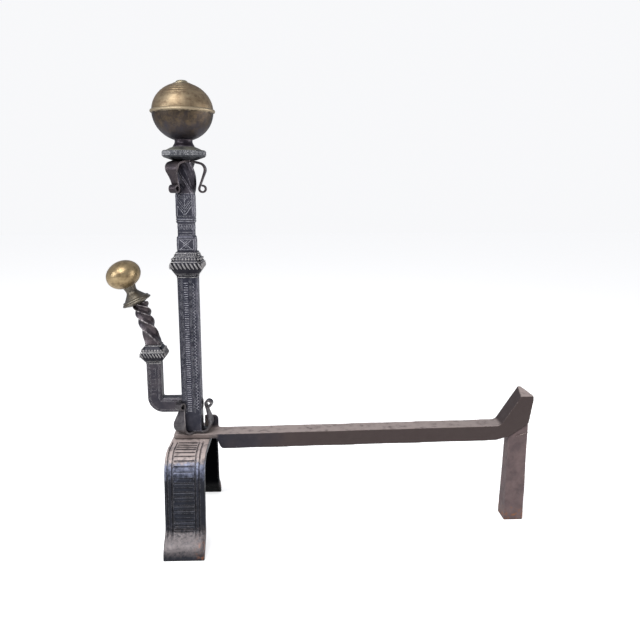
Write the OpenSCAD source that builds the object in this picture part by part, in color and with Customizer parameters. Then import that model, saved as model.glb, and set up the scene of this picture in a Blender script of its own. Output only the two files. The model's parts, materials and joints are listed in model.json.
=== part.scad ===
// Andiron (fire dog) of wrought iron and brass.
// X runs back along the billet bar, Y across the hearth and Z up.
// The origin lies on the floor, under the middle of the whole andiron.

/* [Arch foot] */
// Height of the crown of the arch above the floor
arch_height = 139.5; // [125:0.5:155]
// Width of the strap, along the bar
arch_width = 56; // [48:1:62]
// How far the middle of the strap lies in front of the column's axis
arch_offset = 2; // [0:0.5:4]
// Turn of the arch from square to the bar in degrees
arch_turn = 0.8; // [0:0.2:2]
// Thickness of the strap
arch_thick = 9; // [7:0.5:11]
// Half of the flat crown
crown_half = 53; // [46:1:60]
// Outer radius of each shoulder
shoulder_radius = 34; // [26:1:40]
// Outward lean of each leg in degrees
leg_lean = 5; // [2:0.5:8]
// Radius of the bend where the foot flares outwards
flare_radius = 20; // [14:1:24]
// Turn of the flare in degrees
flare_turn = 40; // [34:1:48]
// Length of the straight toe past the flare
toe_run = 32; // [26:1:36]
// Thickness of the toe at its end
toe_thick = 16; // [14:0.5:18]
// Width of the chased grooves along both edges
groove_width = 1.6; // [1:0.1:2.4]
// Depth of the chased grooves and rungs
groove_depth = 0.8; // [0.4:0.1:1.2]
// Distance from the edge of the strap to the first groove, and from that to the second
border_step = 5; // [4:0.25:6.5]
// Spacing of the cross rungs between the grooves
rung_pitch = 7.4; // [6:0.2:10]

/* [Billet bar] */
// Width of the bar across the hearth
bar_width = 34; // [28:1:40]
// Height of the bar's section
bar_height = 23.5; // [18:0.5:28]
// Thickness of the tongue that lies on the arch
tongue_thick = 7.5; // [6:0.5:11]
// How far the tongue reaches in front of the column's axis
tongue_front = 28; // [24:1:32]
// Where the full section of the bar begins, behind the column's axis
bar_start = 43; // [40:1:60]
// Rise of the bar's top from the column to the log stop
bar_rise = 5.4; // [0:0.2:9]
// Distance from the column's axis to the bend of the log stop
stop_start = 460; // [380:1:540]
// Angle of the log stop above the bar in degrees
stop_angle = 57; // [48:0.5:64]
// Height of the log stop above the bar
stop_height = 45; // [36:1:56]
// Length of the log stop's end, along the bar
stop_end = 15; // [12:0.5:20]
// Slope of the log stop's end across the bar in degrees
stop_slope = 13; // [0:1:18]
// Angle at which the far corner of the log stop's end is cut off, in degrees
stop_bevel = 19; // [0:1:24]
// Height of the lip on the far side of the tongue
lip_height = 20; // [14:1:26]
// Length of the lip
lip_length = 21.5; // [16:0.5:28]

/* [Rear leg] */
// Length of the leg's section along the bar
leg_length = 30; // [24:0.5:36]
// Width of the leg across the hearth, at the floor
leg_width = 33; // [26:0.5:38]
// Width of the leg at its top
leg_top_width = 20; // [18:0.5:28]
// How far the middle of the leg's top lies towards the near side
leg_top_shift = 4.5; // [0:0.5:5]
// Distance that the leg's foot stands behind the bend of the log stop
leg_behind = 12.2; // [10:0.2:18]

/* [Column] */
// Side of the square shaft below the knot
shaft_side = 28; // [24:0.2:30]
// Length of the shaft from its foot to the knot
shaft_length = 227; // [190:1:260]
// Side of the square above the knot
upper_side = 25.4; // [22:0.2:27]
// Flat cut off each corner of the shaft
arris = 1.8; // [0.8:0.2:2.4]
// Length of the block above the knot
block_length = 21; // [16:1:28]
// Length of the sunk waist
waist_length = 20; // [14:1:28]
// Depth of the sunk waist
waist_depth = 1.4; // [0.6:0.2:2.2]
// Length of the double band above the waist
band_length = 6; // [4:0.5:9]
// Length of the panel with the chevrons
panel_length = 35; // [28:1:44]
// Length of the twisted neck
twist_length = 41; // [34:1:52]
// Turn of the twisted neck in degrees
twist_turn = 100; // [60:5:180]
// Diameter of the tenon that goes down through the arch
foot_tenon = 14; // [10:0.5:16]
// Diameter of the tenon that goes up through the ball
top_tenon = 12; // [8:0.5:13]

/* [Knots] */
// Height of the column's knot
knot_height = 37; // [32:0.5:42]
// Half width of the column's knot at its belly
knot_half = 22.5; // [20:0.5:26]
// Height of the side arm's knot
arm_knot_height = 28; // [24:0.5:32]
// Half width of the side arm's knot at its belly
arm_knot_half = 18.3; // [16:0.1:20]

/* [Scroll leaves] */
// Thickness of the lower leaves at the hub
lower_thick = 4; // [3:0.25:5]
// Thickness of the upper leaves at the hub
upper_thick = 3.5; // [2.5:0.25:4.5]
// Thickness of the leaves at their rolled ends
tip_thick = 2.6; // [2.2:0.2:3.2]
// Width of the lower leaves
lower_width = 23; // [18:0.5:24]
// Width of the upper leaves
upper_width = 22; // [16:0.5:23]
// Width of the rolled ends
tip_width = 11.5; // [9:0.5:13]
// Radius of the hub of both rosettes
hub_radius = 14; // [13.5:0.5:14.5]
// Radius of the rolled ends, to the middle of the strap
eye_radius = 4.5; // [4:0.1:5]
// Turn of the lower leaves from the bar's direction in degrees
lower_turn = -7; // [-9:1:0]
// Turn of the upper leaves from the bar's direction in degrees
upper_turn = 2; // [-6:1:6]
// Angle between the leaf over the bar and each of the other two, in degrees
leaf_spread = 122; // [118:1:126]

/* [Disc and ball] */
// Radius of the knurled disc
disc_radius = 30.5; // [26:0.5:36]
// Height of the knurled disc
disc_height = 18; // [14:0.5:22]
// Height of the knurled rim
rim_height = 7; // [5:0.5:8]
// Height of the neck
neck_height = 9.3; // [7:0.1:14]
// Radius of the neck under the ball
neck_radius = 12.5; // [11:0.25:14]
// Radius of the ball at its equator
ball_radius = 42; // [36:0.5:48]
// Height of the ball's lower half, if it were whole
ball_drop = 40; // [36:0.5:46]
// Height of the ball's upper half, if it were whole
ball_rise = 38; // [34:0.5:44]
// Wall of the brass ball
ball_wall = 2.5; // [1.5:0.1:3.5]
// Radius of the bead round the equator
bead_radius = 2.4; // [1.8:0.1:3]
// Radius of the flat seat on top of the ball
seat_radius = 13.5; // [12.5:0.25:15]
// Height of the button
button_height = 5.3; // [4.5:0.1:7]

/* [Side arm] */
// Side of the arm, as seen from the near side
arm_side = 20.5; // [17:0.5:22]
// Side of the arm, across the hearth
arm_depth = 23; // [18:0.5:24]
// Height of the arm's middle above the foot of the column
arm_lift = 39; // [34:1:60]
// Distance from the column's axis to the middle of the upright
arm_reach = 53; // [44:1:66]
// Length of the upright from the bend to the knot
arm_rise = 52.75; // [44:0.25:70]
// Diameter of the tenon that holds the arm in the column
arm_tenon = 11; // [8:0.5:12]
// Length of the twisted part, along its own axis
arm_twist_length = 62.4; // [50:0.2:76]
// Lean of the twisted part in degrees
arm_twist_lean = 16; // [12:0.5:22]
// Turn of the twisted part in degrees
arm_twist_turn = 430; // [270:10:540]
// How far the small disc is set over the end of the twist, towards the front
finial_shift = 3.2; // [0:0.2:3.6]
// Lean of the small ball in degrees
finial_lean = 24; // [16:1:28]
// Radius of the small ball at its equator
small_ball_radius = 25; // [21:0.5:28]
// Half height of the small ball
small_ball_half = 20; // [17:0.5:24]
// Radius of the moulded disc under the small ball
small_disc_radius = 21.2; // [18:0.2:24]
// Length of the moulded disc and its neck
small_neck_length = 27.5; // [24:0.5:32]
// Diameter of the tenon inside the small ball
small_tenon = 8; // [6:0.5:9]

/* [Fits] */
// Gap round each tenon in its hole
fit_gap = 0.3; // [0.2:0.05:0.4]
// Thickness of the washer under the arch
washer_thick = 3.8; // [3:0.2:5]
// Radius of the washer under the arch
washer_radius = 15; // [13:0.5:18]
// Height of the hammered rivet heads
rivet_height = 4; // [3:0.5:5]

/* [Hidden] */
$fn = 64;
// Largest turn between two points of a bend
bend_step = 8;
// Extra length that makes a cut run past a face
past = 1;
// Turn of a rolled end
roll_turn = 300;

// Heights of the stack under the column
bar_top = arch_height + tongue_thick;
foot_z = bar_top + lower_thick;
// Heights along the column
knot_z = foot_z + shaft_length;
block_z = knot_z + knot_height;
waist_z = block_z + block_length;
band_z = waist_z + waist_length;
panel_z = band_z + band_length;
twist_z = panel_z + panel_length;
upper_z = twist_z + twist_length;
disc_z = upper_z + upper_thick;
neck_z = disc_z + disc_height;
ball_z = neck_z + neck_height;
equator_z = ball_z + ball_drop * sqrt(1 - pow(neck_radius / ball_radius, 2));
seat_z = equator_z + ball_rise * sqrt(1 - pow(seat_radius / ball_radius, 2));
// Places on the side arm
arm_z = foot_z + arm_lift;
bend_z = arm_z + arm_side / 2;
arm_knot_z = bend_z + arm_rise;
arm_twist_z = arm_knot_z + arm_knot_height;
twist_end = [-arm_reach - arm_twist_length * sin(arm_twist_lean),
    arm_twist_z + arm_twist_length * cos(arm_twist_lean)];
// Radius of the twisted part's corners and depth of its hollows
cord_radius = arm_side * 0.556;
hollow_radius = arm_side * 0.436;
// The middle of the small disc's foot
finial_foot = [twist_end[0] - finial_shift * cos(finial_lean), twist_end[1] - finial_shift * sin(finial_lean)];

// Places on the small ball: its foot, the distance of its middle, and its reach to the front
small_foot = small_ball_radius * 0.37;
small_foot_angle = -acos(small_foot / small_ball_radius);
small_middle = small_neck_length - small_ball_half * sin(small_foot_angle);
small_reach = norm([small_ball_radius * cos(finial_lean), small_ball_half * sin(finial_lean)]);

// Places on the log stop, as [X, Z]
stop_bend = 10;
rise_angle = atan(bar_rise / (stop_start - bar_start));
bend_back = stop_bend * tan((stop_angle - rise_angle) / 2);
stop_in = [stop_start - bend_back * cos(rise_angle), bar_top + bar_rise - bend_back * sin(rise_angle),
    rise_angle, 1];
stop_top = bar_top + bar_rise + stop_height;
slope_drop = bar_width * tan(stop_slope);
stop_tip = stop_start + (stop_height + slope_drop) / tan(stop_angle);
leg_foot = stop_start + leg_behind;
leg_lean_back = 1.5;
scarf_low = [leg_foot + leg_lean_back, bar_top + bar_rise - bar_height * 0.75];
scarf_high = [leg_foot + leg_length + leg_lean_back, bar_top + bar_rise + 3];
under_bend = stop_start - 6;
// Where the lip begins, just behind the column
lip_start = shaft_side / 2 + 1;

// Where the middle of the andiron lies behind the column's axis
middle_x = (stop_tip + stop_end + finial_foot[0] - small_middle * sin(finial_lean) - small_reach) / 2;

// A path is a list of points [along, up, heading, thickness].
// The point that lies a straight way on from p
function ahead(p, run, thick) = [p[0] + run * cos(p[2]), p[1] + run * sin(p[2]), p[2], thick];
// The points round a bend that turns the heading at p by an angle
function bend(p, radius, angle, thick) =
    let (side = sign(angle), n = ceil(abs(angle) / bend_step))
    let (cx = p[0] - side * radius * sin(p[2]), cz = p[1] + side * radius * cos(p[2]))
    [for (i = [1:n]) let (h = p[2] + angle * i / n)
        [cx + side * radius * sin(h), cz - side * radius * cos(h), h, p[3] + (thick - p[3]) * i / n]];
function last(list) = list[len(list) - 1];
function reverse(list) = [for (i = [len(list) - 1:-1:0]) list[i]];
// The line beside a path, a share of its thickness and a distance to the left
function beside(path, share, extra = 0) =
    [for (p = path) let (d = share * p[3] + extra) [p[0] - d * sin(p[2]), p[1] + d * cos(p[2])]];
// A line that starts on the middle plane, joined to its mirror image
function mirrored(line) = concat([for (q = reverse(line)) [-q[0], q[1]]], line);
// The closed outline of a strap along a path
function strap(path) = concat(beside(path, 0.5), reverse(beside(path, -0.5)));
// An arc of an ellipse round [0, z], from one angle to another
function oval(rx, rz, z, from, to, n) =
    [for (i = [0:n]) let (a = from + (to - from) * i / n) [rx * cos(a), z + rz * sin(a)]];

// The middle line of half the arch, from the crown to the toe
leg_heading = leg_lean - 90;
toe_heading = leg_heading + flare_turn;
toe_sink = 4;
arch_mid = shoulder_radius - arch_thick / 2;
leg_run = (arch_height - arch_thick / 2 - arch_mid * (1 - cos(leg_heading))
    - flare_radius * (cos(toe_heading) - cos(leg_heading)) + toe_run * sin(toe_heading)
    - toe_thick / 2 * cos(toe_heading) + toe_sink) / cos(leg_lean);
arch_start = [0, arch_height - arch_thick / 2, 0, arch_thick];
crown_end = ahead(arch_start, crown_half, arch_thick);
shoulder = bend(crown_end, arch_mid, leg_heading, arch_thick);
leg_end = ahead(last(shoulder), leg_run, arch_thick);
flare = bend(leg_end, flare_radius, flare_turn, arch_thick * 1.2);
toe_end = ahead(last(flare), toe_run, toe_thick);
chase_end = ahead(last(shoulder), leg_run - groove_width, arch_thick);
chased_path = concat([arch_start, crown_end], shoulder, [chase_end]);
arch_path = concat([arch_start, crown_end], shoulder, [leg_end], flare, [toe_end]);
shoulder_run = arch_mid * abs(leg_heading) * PI / 180;
// First and last rung, measured along the middle line from the crown
first_rung = crown_half * 0.66;
last_rung = crown_half + shoulder_run + leg_run - 3 * groove_width;
panel_half = arch_width / 2 - 2 * border_step - 1.5 * groove_width;
// Place and heading at a distance along the middle line
function arch_at(s) =
    s < crown_half ? ahead(arch_start, s, arch_thick)
    : s < crown_half + shoulder_run
    ? last(bend(crown_end, arch_mid, -(s - crown_half) / arch_mid * 180 / PI, arch_thick))
    : ahead(last(shoulder), s - crown_half - shoulder_run, arch_thick);

// Every shape is drawn from the column's axis, and then moved to the middle of the andiron
module stand() {
    translate([-middle_x, 0, 0])
        children();
}

// Draws a profile of [Y, Z] and carries it along X
module along_x(start, width) {
    translate([start, 0, 0])
        rotate([90, 0, 90])
            linear_extrude(width)
                children();
}

// Draws a profile of [X, Z] and carries it across, half on each side of the middle
module across(width) {
    translate([0, width / 2, 0])
        rotate([90, 0, 0])
            linear_extrude(width)
                children();
}

// A rectangle with its corners cut off
module bar_section(width, depth, cut) {
    w = width / 2;
    d = depth / 2;
    polygon([[-w + cut, -d], [w - cut, -d], [w, -d + cut], [w, d - cut],
        [w - cut, d], [-w + cut, d], [-w, d - cut], [-w, -d + cut]]);
}

module arch_grooves() {
    line = concat(mirrored(beside(chased_path, 0.5, past)),
        reverse(mirrored(beside(chased_path, 0.5, -groove_depth))));
    for (side = [-1, 1], k = [1, 2])
        along_x(side * (arch_width / 2 - k * border_step) - groove_width / 2, groove_width)
            polygon(line);
}

module arch_rungs() {
    along_x(-panel_half, 2 * panel_half)
        for (s = [first_rung:rung_pitch:last_rung], side = [0, 1])
            mirror([side, 0])
                translate([arch_at(s)[0], arch_at(s)[1]])
                    rotate(arch_at(s)[2])
                        translate([0, arch_thick / 2 - groove_depth])
                            square([groove_width * 0.7, groove_depth + past]);
}

// One wide strap bent into the front arch, chased on its outer face
module arch_foot() {
    color("#4a4648") stand()
        difference() {
            translate([-arch_offset, 0, 0])
                rotate([0, 0, -arch_turn])
                    difference() {
                        along_x(-arch_width / 2, arch_width)
                            polygon(concat(mirrored(beside(arch_path, 0.5)),
                                reverse(mirrored(beside(arch_path, -0.5)))));
                        translate([-arch_width, -2 * arch_height, -arch_height])
                            cube([2 * arch_width, 4 * arch_height, arch_height]);
                        arch_grooves();
                        arch_rungs();
                    }
            cylinder(h = arch_height + past, d = foot_tenon + 2 * fit_gap);
        }
}

// The side of the bar, from the tip of the tongue round to the step behind the arch
module bar_profile() {
    polygon(concat(
        [[-tongue_front, arch_height], [-tongue_front, bar_top], [bar_start, bar_top], [stop_in[0], stop_in[1]]],
        [for (p = bend(stop_in, stop_bend, stop_angle - rise_angle, 1)) [p[0], p[1]]],
        [[stop_tip, stop_top + slope_drop], [stop_tip + stop_end, stop_top + slope_drop],
            [stop_tip + stop_end, stop_top - stop_end * 0.4], scarf_high, scarf_low, [under_bend, bar_top + bar_rise - bar_height]],
        [for (p = bend([bar_start + tongue_thick / 2, bar_top - bar_height, 180, 1], tongue_thick, -70, 1))
            [p[0], p[1]]],
        [[bar_start - tongue_thick, arch_height]]));
}

// The bar that carries the logs, with its tongue, its lip and its log stop
module billet_bar() {
    tip_cut = bar_width * 0.18;
    color("#8d7a75") stand()
        difference() {
            union() {
                across(bar_width)
                    bar_profile();
                translate([0, bar_width / 2 - lower_thick / 2, 0])
                    across(lower_thick)
                        polygon([[lip_start, bar_top - past], [lip_start, bar_top + lip_height],
                            [lip_start + lip_length * 0.8, bar_top + lip_height],
                            [lip_start + lip_length, bar_top + lip_height * 0.75],
                            [lip_start + lip_length, bar_top - past]]);
            }
            translate([0, 0, arch_height - past])
                cylinder(h = 2 * tongue_thick, d = foot_tenon + 2 * fit_gap);
            for (side = [-1, 1])
                translate([-tongue_front, side * bar_width / 2, arch_height - past])
                    rotate([0, 0, 45])
                        cube([tip_cut, tip_cut, 4 * tongue_thick], center = true);
            translate([stop_start, -bar_width / 2, stop_top])
                rotate([stop_slope, 0, 0])
                    translate([-bar_width, -bar_width, 0])
                        cube([4 * bar_width, 4 * bar_width, 2 * slope_drop + past]);
            translate([stop_tip + stop_end, -bar_width * 0.35, bar_top - bar_height])
                rotate([0, 0, stop_bevel])
                    translate([0, -bar_width, 0])
                        cube([bar_width, 3 * bar_width, 4 * stop_height]);
        }
}

// The square leg, tapered across the hearth and cut to the scarf under the log stop
module rear_leg() {
    color("#7b6663") stand()
        intersection() {
            across(2 * leg_width)
                polygon([[leg_foot, 0], scarf_low, scarf_high, [leg_foot + leg_length, 0]]);
            along_x(leg_foot - past, 2 * leg_length)
                polygon([[-leg_width / 2, 0], [-leg_top_width / 2 - leg_top_shift, scarf_high[1]],
                    [leg_top_width / 2 - leg_top_shift, scarf_high[1]], [leg_width / 2, 0]]);
        }
}

// Lengths along the leaves, as shares of the hub's radius
leaf_root = hub_radius * 0.214;
lower_flat = hub_radius * 0.8;
lower_bow = hub_radius * 0.936;
lower_reach = hub_radius * 1.75;
lower_narrow = [bar_top + hub_radius * 1.43, bar_top + hub_radius * 2.93];
upper_flat = hub_radius * 0.536;
upper_sag = hub_radius * 0.857;
upper_run = hub_radius * 0.607;
upper_bow = hub_radius * 0.643;
upper_reach = hub_radius * 1.643;
upper_narrow = [upper_z - hub_radius * 0.857, upper_z - hub_radius * 2.643];

// The middle line of a lower leaf, out of the thicker hub, up and rolled outwards
lower_start = [leaf_root, bar_top + lower_thick / 2, 0, lower_thick - 2 * fit_gap];
lower_foot = ahead(lower_start, lower_flat, lower_thick - 2 * fit_gap);
lower_bulge = bend(lower_foot, lower_bow, 106, (lower_thick + tip_thick) / 2);
lower_neck = ahead(last(lower_bulge), lower_reach, tip_thick);
lower_path = concat([lower_start, lower_foot], lower_bulge, [lower_neck],
    bend(lower_neck, eye_radius, -roll_turn, tip_thick));

// The middle line of an upper leaf, out of the thicker hub under the disc, down and rolled outwards
upper_start = [leaf_root, upper_z + upper_thick / 2, 0, upper_thick - 2 * fit_gap];
upper_foot = ahead(upper_start, upper_flat, upper_thick - 2 * fit_gap);
upper_dip = bend(upper_foot, upper_sag, -14, upper_thick - fit_gap);
upper_out = ahead(last(upper_dip), upper_run, upper_thick - fit_gap);
upper_bulge = bend(upper_out, upper_bow, -96.5, (upper_thick + tip_thick) / 2);
upper_neck = ahead(last(upper_bulge), upper_reach, tip_thick);
upper_path = concat([upper_start, upper_foot], upper_dip, [upper_out], upper_bulge, [upper_neck],
    bend(upper_neck, eye_radius, roll_turn, tip_thick));

// One leaf along X: a strap that narrows between two heights
module leaf(path, width, narrow) {
    far = narrow[1] + sign(narrow[1] - narrow[0]) * 4 * eye_radius;
    near = narrow[0] - sign(narrow[1] - narrow[0]) * 8 * eye_radius;
    intersection() {
        across(width)
            polygon(strap(path));
        along_x(-past, 4 * hub_radius)
            polygon([[-width / 2 - past, near], [-width / 2 - past, narrow[0]], [-tip_width / 2, narrow[1]],
                [-tip_width / 2, far], [tip_width / 2, far], [tip_width / 2, narrow[1]],
                [width / 2 + past, narrow[0]], [width / 2 + past, near]]);
    }
}

// Three leaves on one hub, with a hole for a tenon
module rosette(path, width, narrow, z, thick, hole, turn) {
    difference() {
        union() {
            translate([0, 0, z])
                cylinder(h = thick, r = hub_radius);
            for (angle = [0, leaf_spread, -leaf_spread])
                rotate([0, 0, angle + turn])
                    leaf(path, width, narrow);
        }
        translate([0, 0, z - past])
            cylinder(h = thick + 2 * past, d = hole + 2 * fit_gap);
    }
}

module lower_scrolls() {
    color("#5a5a60") stand()
        rosette(lower_path, lower_width, lower_narrow, bar_top, lower_thick, foot_tenon, lower_turn);
}

module upper_scrolls() {
    color("#4c4a50") stand()
        rosette(upper_path, upper_width, upper_narrow, upper_z, upper_thick, top_tenon, upper_turn);
}

// A length of the column, from one height to another
module length_of_bar(from, to, side) {
    translate([0, 0, from])
        linear_extrude(to - from)
            bar_section(side, side, arris);
}

// Two grooves across the front and back and up the edges of a face
module shaft_grooves() {
    low = foot_z + shaft_side;
    for (turn = [0:90:270], side = [-1, 1], k = [0, 1])
        rotate([0, 0, turn])
            translate([side * (shaft_side / 2 - arris - groove_width * (1 + 2.2 * k)) - groove_width / 4,
                -shaft_side / 2 - past, low])
                cube([groove_width / 2, past + groove_depth / 2, knot_z - low - groove_width]);
}

// The square column with its tenons, its waist and its twisted neck
module column() {
    waist_side = upper_side - 2 * waist_depth;
    slope = waist_depth * 1.5;
    color("#55555e") stand()
        difference() {
            union() {
                length_of_bar(foot_z, block_z, shaft_side);
                length_of_bar(block_z - past, waist_z, upper_side);
                length_of_bar(waist_z - past, band_z + past, waist_side);
                length_of_bar(band_z, twist_z, upper_side);
                translate([0, 0, twist_z])
                    linear_extrude(twist_length, twist = twist_turn, slices = 20)
                        bar_section(upper_side, upper_side, arris);
                translate([0, 0, upper_z - past])
                    cylinder(h = seat_z + button_height / 2 - upper_z + past - fit_gap, d = top_tenon);
                translate([0, 0, arch_height - arch_thick - washer_thick - past])
                    cylinder(h = foot_z - arch_height + arch_thick + washer_thick + 2 * past, d = foot_tenon);
                translate([0, 0, arch_height - arch_thick - washer_thick - rivet_height])
                    cylinder(h = rivet_height, d1 = foot_tenon, d2 = foot_tenon * 1.6);
            }
            translate([-shaft_side, 0, arm_z])
                rotate([0, 90, 0])
                    cylinder(h = 2 * shaft_side, d = arm_tenon + 2 * fit_gap);
            shaft_grooves();
            for (turn = [0:90:270], k = [1, 3])
                rotate([0, 0, turn])
                    translate([-upper_side, -upper_side / 2 - past, band_z + k * band_length / 4 - slope / 4])
                        cube([2 * upper_side, past + waist_depth / 3, slope / 2]);
        }
}

// Half widths of a knot from its base to its top, as [half width, height].
// It swells from its lip to the belly in a hollow curve, and shrinks again in a longer one.
function knot_line(lip, belly, height) = let (swell = belly - lip)
    [[lip, 0], [lip, height * 0.08], [lip + swell * 0.5, height * 0.245],
        [lip + swell * 0.76, height * 0.325], [lip + swell * 0.96, height * 0.39], [belly, height * 0.46],
        [lip + swell * 0.96, height * 0.54], [lip + swell * 0.73, height * 0.69],
        [lip + swell * 0.21, height * 0.84], [lip + swell * 0.09, height * 0.92], [lip, height]];

// The outline of a knot, on both sides of its axis
function knot_outline(lip, belly, height) = concat(knot_line(lip, belly, height),
    [for (q = reverse(knot_line(lip, belly, height))) [-q[0], q[1]]]);

// A square knot with blunt corners, bored for the bar that it is welded to
module knot(width, depth, belly, height) {
    edge = 0.5;
    corner = (width + depth - 2 * arris) / sqrt(8) + edge;
    difference() {
        intersection() {
            across(2 * belly)
                polygon(knot_outline(width / 2 + edge, belly, height));
            rotate([0, 0, 90])
                across(2 * belly)
                    polygon(knot_outline(depth / 2 + edge, belly, height));
            for (turn = [45, -45])
                rotate([0, 0, turn])
                    across(4 * belly)
                        polygon(knot_outline(corner, belly * 1.2, height));
        }
        translate([0, 0, -past])
            linear_extrude(height + 2 * past)
                bar_section(width, depth, arris);
    }
}

module column_knot() {
    color("#66666c") stand()
        translate([0, 0, knot_z])
            knot(shaft_side, shaft_side, knot_half, knot_height);
}

module arm_knot() {
    color("#66666c") stand()
        translate([-arm_reach, 0, arm_knot_z])
            knot(arm_side, arm_depth, arm_knot_half, arm_knot_height);
}

// The disc under the neck: flat below, knurled rim, and a cone above
module drip_disc() {
    bore = top_tenon / 2 + fit_gap;
    under = (disc_height - rim_height) * 0.48;
    color("#77777a") stand()
        translate([0, 0, disc_z])
            rotate_extrude()
                polygon([[bore, 0], [hub_radius + 3, 0], [disc_radius - 1, under - 1], [disc_radius, under],
                    [disc_radius, under + rim_height - 1], [disc_radius - 1, under + rim_height],
                    [neck_radius + 2.5, disc_height], [bore, disc_height]]);
}

// The waisted spool that carries the ball
module ball_neck() {
    bore = top_tenon / 2 + fit_gap;
    color("#4b4348") stand()
        translate([0, 0, neck_z])
            rotate_extrude()
                polygon([[bore, 0], [neck_radius + 2.5, 0], [neck_radius + 2.2, neck_height * 0.15],
                    [neck_radius + 0.3, neck_height * 0.5], [neck_radius - 0.3, neck_height * 0.8],
                    [neck_radius, neck_height], [bore, neck_height]]);
}

// Angles on the ball where the neck and the flat seat meet it
neck_angle = -acos(neck_radius / ball_radius);
seat_angle = acos(seat_radius / ball_radius);
inner_floor = asin((equator_z - ball_z - ball_wall) / (ball_drop - ball_wall));
inner_roof = asin((seat_z - ball_wall - equator_z) / (ball_rise - ball_wall));

// The lower half of the hollow ball, with the bead that holds the upper half
module ball_lower() {
    bore = top_tenon / 2 + fit_gap;
    bead_low = asin(bead_radius * 0.9 / ball_drop);
    color("#8a7348") stand()
        rotate_extrude()
            polygon(concat(
                [[bore, ball_z]],
                oval(ball_radius, ball_drop, equator_z, neck_angle, -bead_low, 24),
                [for (a = [-60:15:75]) [ball_radius + bead_radius * cos(a), equator_z + bead_radius * sin(a)]],
                [[ball_radius + fit_gap, equator_z + bead_radius * 0.97], [ball_radius + fit_gap, equator_z]],
                oval(ball_radius - ball_wall, ball_drop - ball_wall, equator_z, 0, -inner_floor, 20),
                [[bore, ball_z + ball_wall]]));
}

// The upper half of the hollow ball, with a flat seat for the button
module ball_upper() {
    bore = top_tenon / 2 + fit_gap;
    color("#b29a62") stand()
        rotate_extrude()
            polygon(concat(
                oval(ball_radius, ball_rise, equator_z, 0, seat_angle, 24),
                [[bore, seat_z], [bore, seat_z - ball_wall]],
                oval(ball_radius - ball_wall, ball_rise - ball_wall, equator_z, inner_roof, 0, 20)));
}

// The button that covers the riveted end of the tenon
module top_button() {
    bore = top_tenon / 2 + fit_gap;
    base = seat_radius - 1;
    dome = bore + 1.6;
    color("#c2ab74") stand()
        translate([0, 0, seat_z])
            rotate_extrude()
                polygon([[bore, 0], [base, 0], [base, button_height * 0.2], [dome + 0.6, button_height * 0.34],
                    [dome, button_height * 0.62], [dome * 0.7, button_height * 0.9], [dome * 0.3, button_height],
                    [0, button_height], [0, button_height / 2], [bore, button_height / 2]]);
}

// Turns and moves a piece to the leaning end of the side arm
module at_finial() {
    translate([finial_foot[0], 0, finial_foot[1]])
        rotate([0, -finial_lean, 0])
            children();
}

// A round bar with four hollows, which twists into a four-strand cord
module cord_section() {
    difference() {
        circle(r = cord_radius, $fn = 32);
        for (turn = [0:90:270])
            rotate(turn)
                translate([cord_radius + hollow_radius * 0.62, 0])
                    circle(r = hollow_radius, $fn = 32);
    }
}

// The side arm: tenon, level bar, bend, upright, twisted end and the tenon in the small ball
module side_arm() {
    half = arm_side / 2;
    corner = -arm_reach + half;
    small_tenon_end = small_neck_length + small_ball_half;
    color("#5b5b62") stand() {
        translate([0, 0, arm_z])
            rotate([0, 90, 0])
                translate([0, 0, -shaft_side / 2 - past])
                    cylinder(h = shaft_side + 2 * past, d = arm_tenon);
        translate([shaft_side / 2, 0, arm_z])
            rotate([0, 90, 0])
                cylinder(h = rivet_height / 2, d1 = arm_tenon * 1.5, d2 = arm_tenon);
        translate([corner, 0, arm_z])
            rotate([90, 0, 90])
                linear_extrude(-shaft_side / 2 - corner)
                    bar_section(arm_depth, arm_side, arris);
        intersection() {
            translate([corner, 0, bend_z])
                rotate([90, 0, 0])
                    translate([0, 0, -arm_depth / 2])
                        cylinder(h = arm_depth, r = arm_side);
            translate([corner - 2 * arm_side, -arm_depth, bend_z - 2 * arm_side])
                cube([2 * arm_side, 2 * arm_depth, 2 * arm_side]);
        }
        translate([-arm_reach, 0, bend_z])
            linear_extrude(arm_twist_z - bend_z)
                bar_section(arm_side, arm_depth, arris);
        difference() {
            translate([-arm_reach, 0, arm_twist_z])
                rotate([0, -arm_twist_lean, 0])
                    translate([0, 0, -half])
                        linear_extrude(arm_twist_length + 2 * half, twist = arm_twist_turn, slices = 40)
                            cord_section();
            translate([-arm_reach - 2 * arm_side, -2 * arm_side, arm_twist_z - 4 * arm_side])
                cube([4 * arm_side, 4 * arm_side, 4 * arm_side]);
            at_finial()
                translate([-2 * arm_side, -2 * arm_side, 0])
                    cube([4 * arm_side, 4 * arm_side, 4 * arm_side]);
        }
        at_finial()
            translate([0, 0, -past])
                cylinder(h = small_tenon_end + past - fit_gap, d = small_tenon);
    }
}

// The moulded disc and neck under the small ball, turned in one piece
module arm_disc() {
    bore = small_tenon / 2 + fit_gap;
    r = small_disc_radius;
    h = small_neck_length;
    neck = small_ball_radius * 0.32;
    color("#6b6450") stand()
        at_finial()
            rotate_extrude()
                polygon([[bore, 0], [cord_radius + 0.5, 0], [r * 0.92, h * 0.09], [r, h * 0.14], [r, h * 0.2],
                    [r * 0.94, h * 0.26], [r * 0.9, h * 0.26], [r * 0.87, h * 0.35], [r * 0.72, h * 0.43],
                    [neck + 4, h * 0.51], [neck + 1, h * 0.62], [neck, h * 0.72], [neck, h * 0.82], [small_foot, h], [bore, h]]);
}

// The small flattened ball
module arm_ball() {
    bore = small_tenon / 2 + fit_gap;
    color("#b5945a") stand()
        at_finial()
            rotate_extrude()
                polygon(concat(
                    [[bore, small_neck_length]],
                    oval(small_ball_radius, small_ball_half, small_middle, small_foot_angle, 90, 32),
                    [[0, small_neck_length + small_ball_half], [bore, small_neck_length + small_ball_half]]));
}

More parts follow.
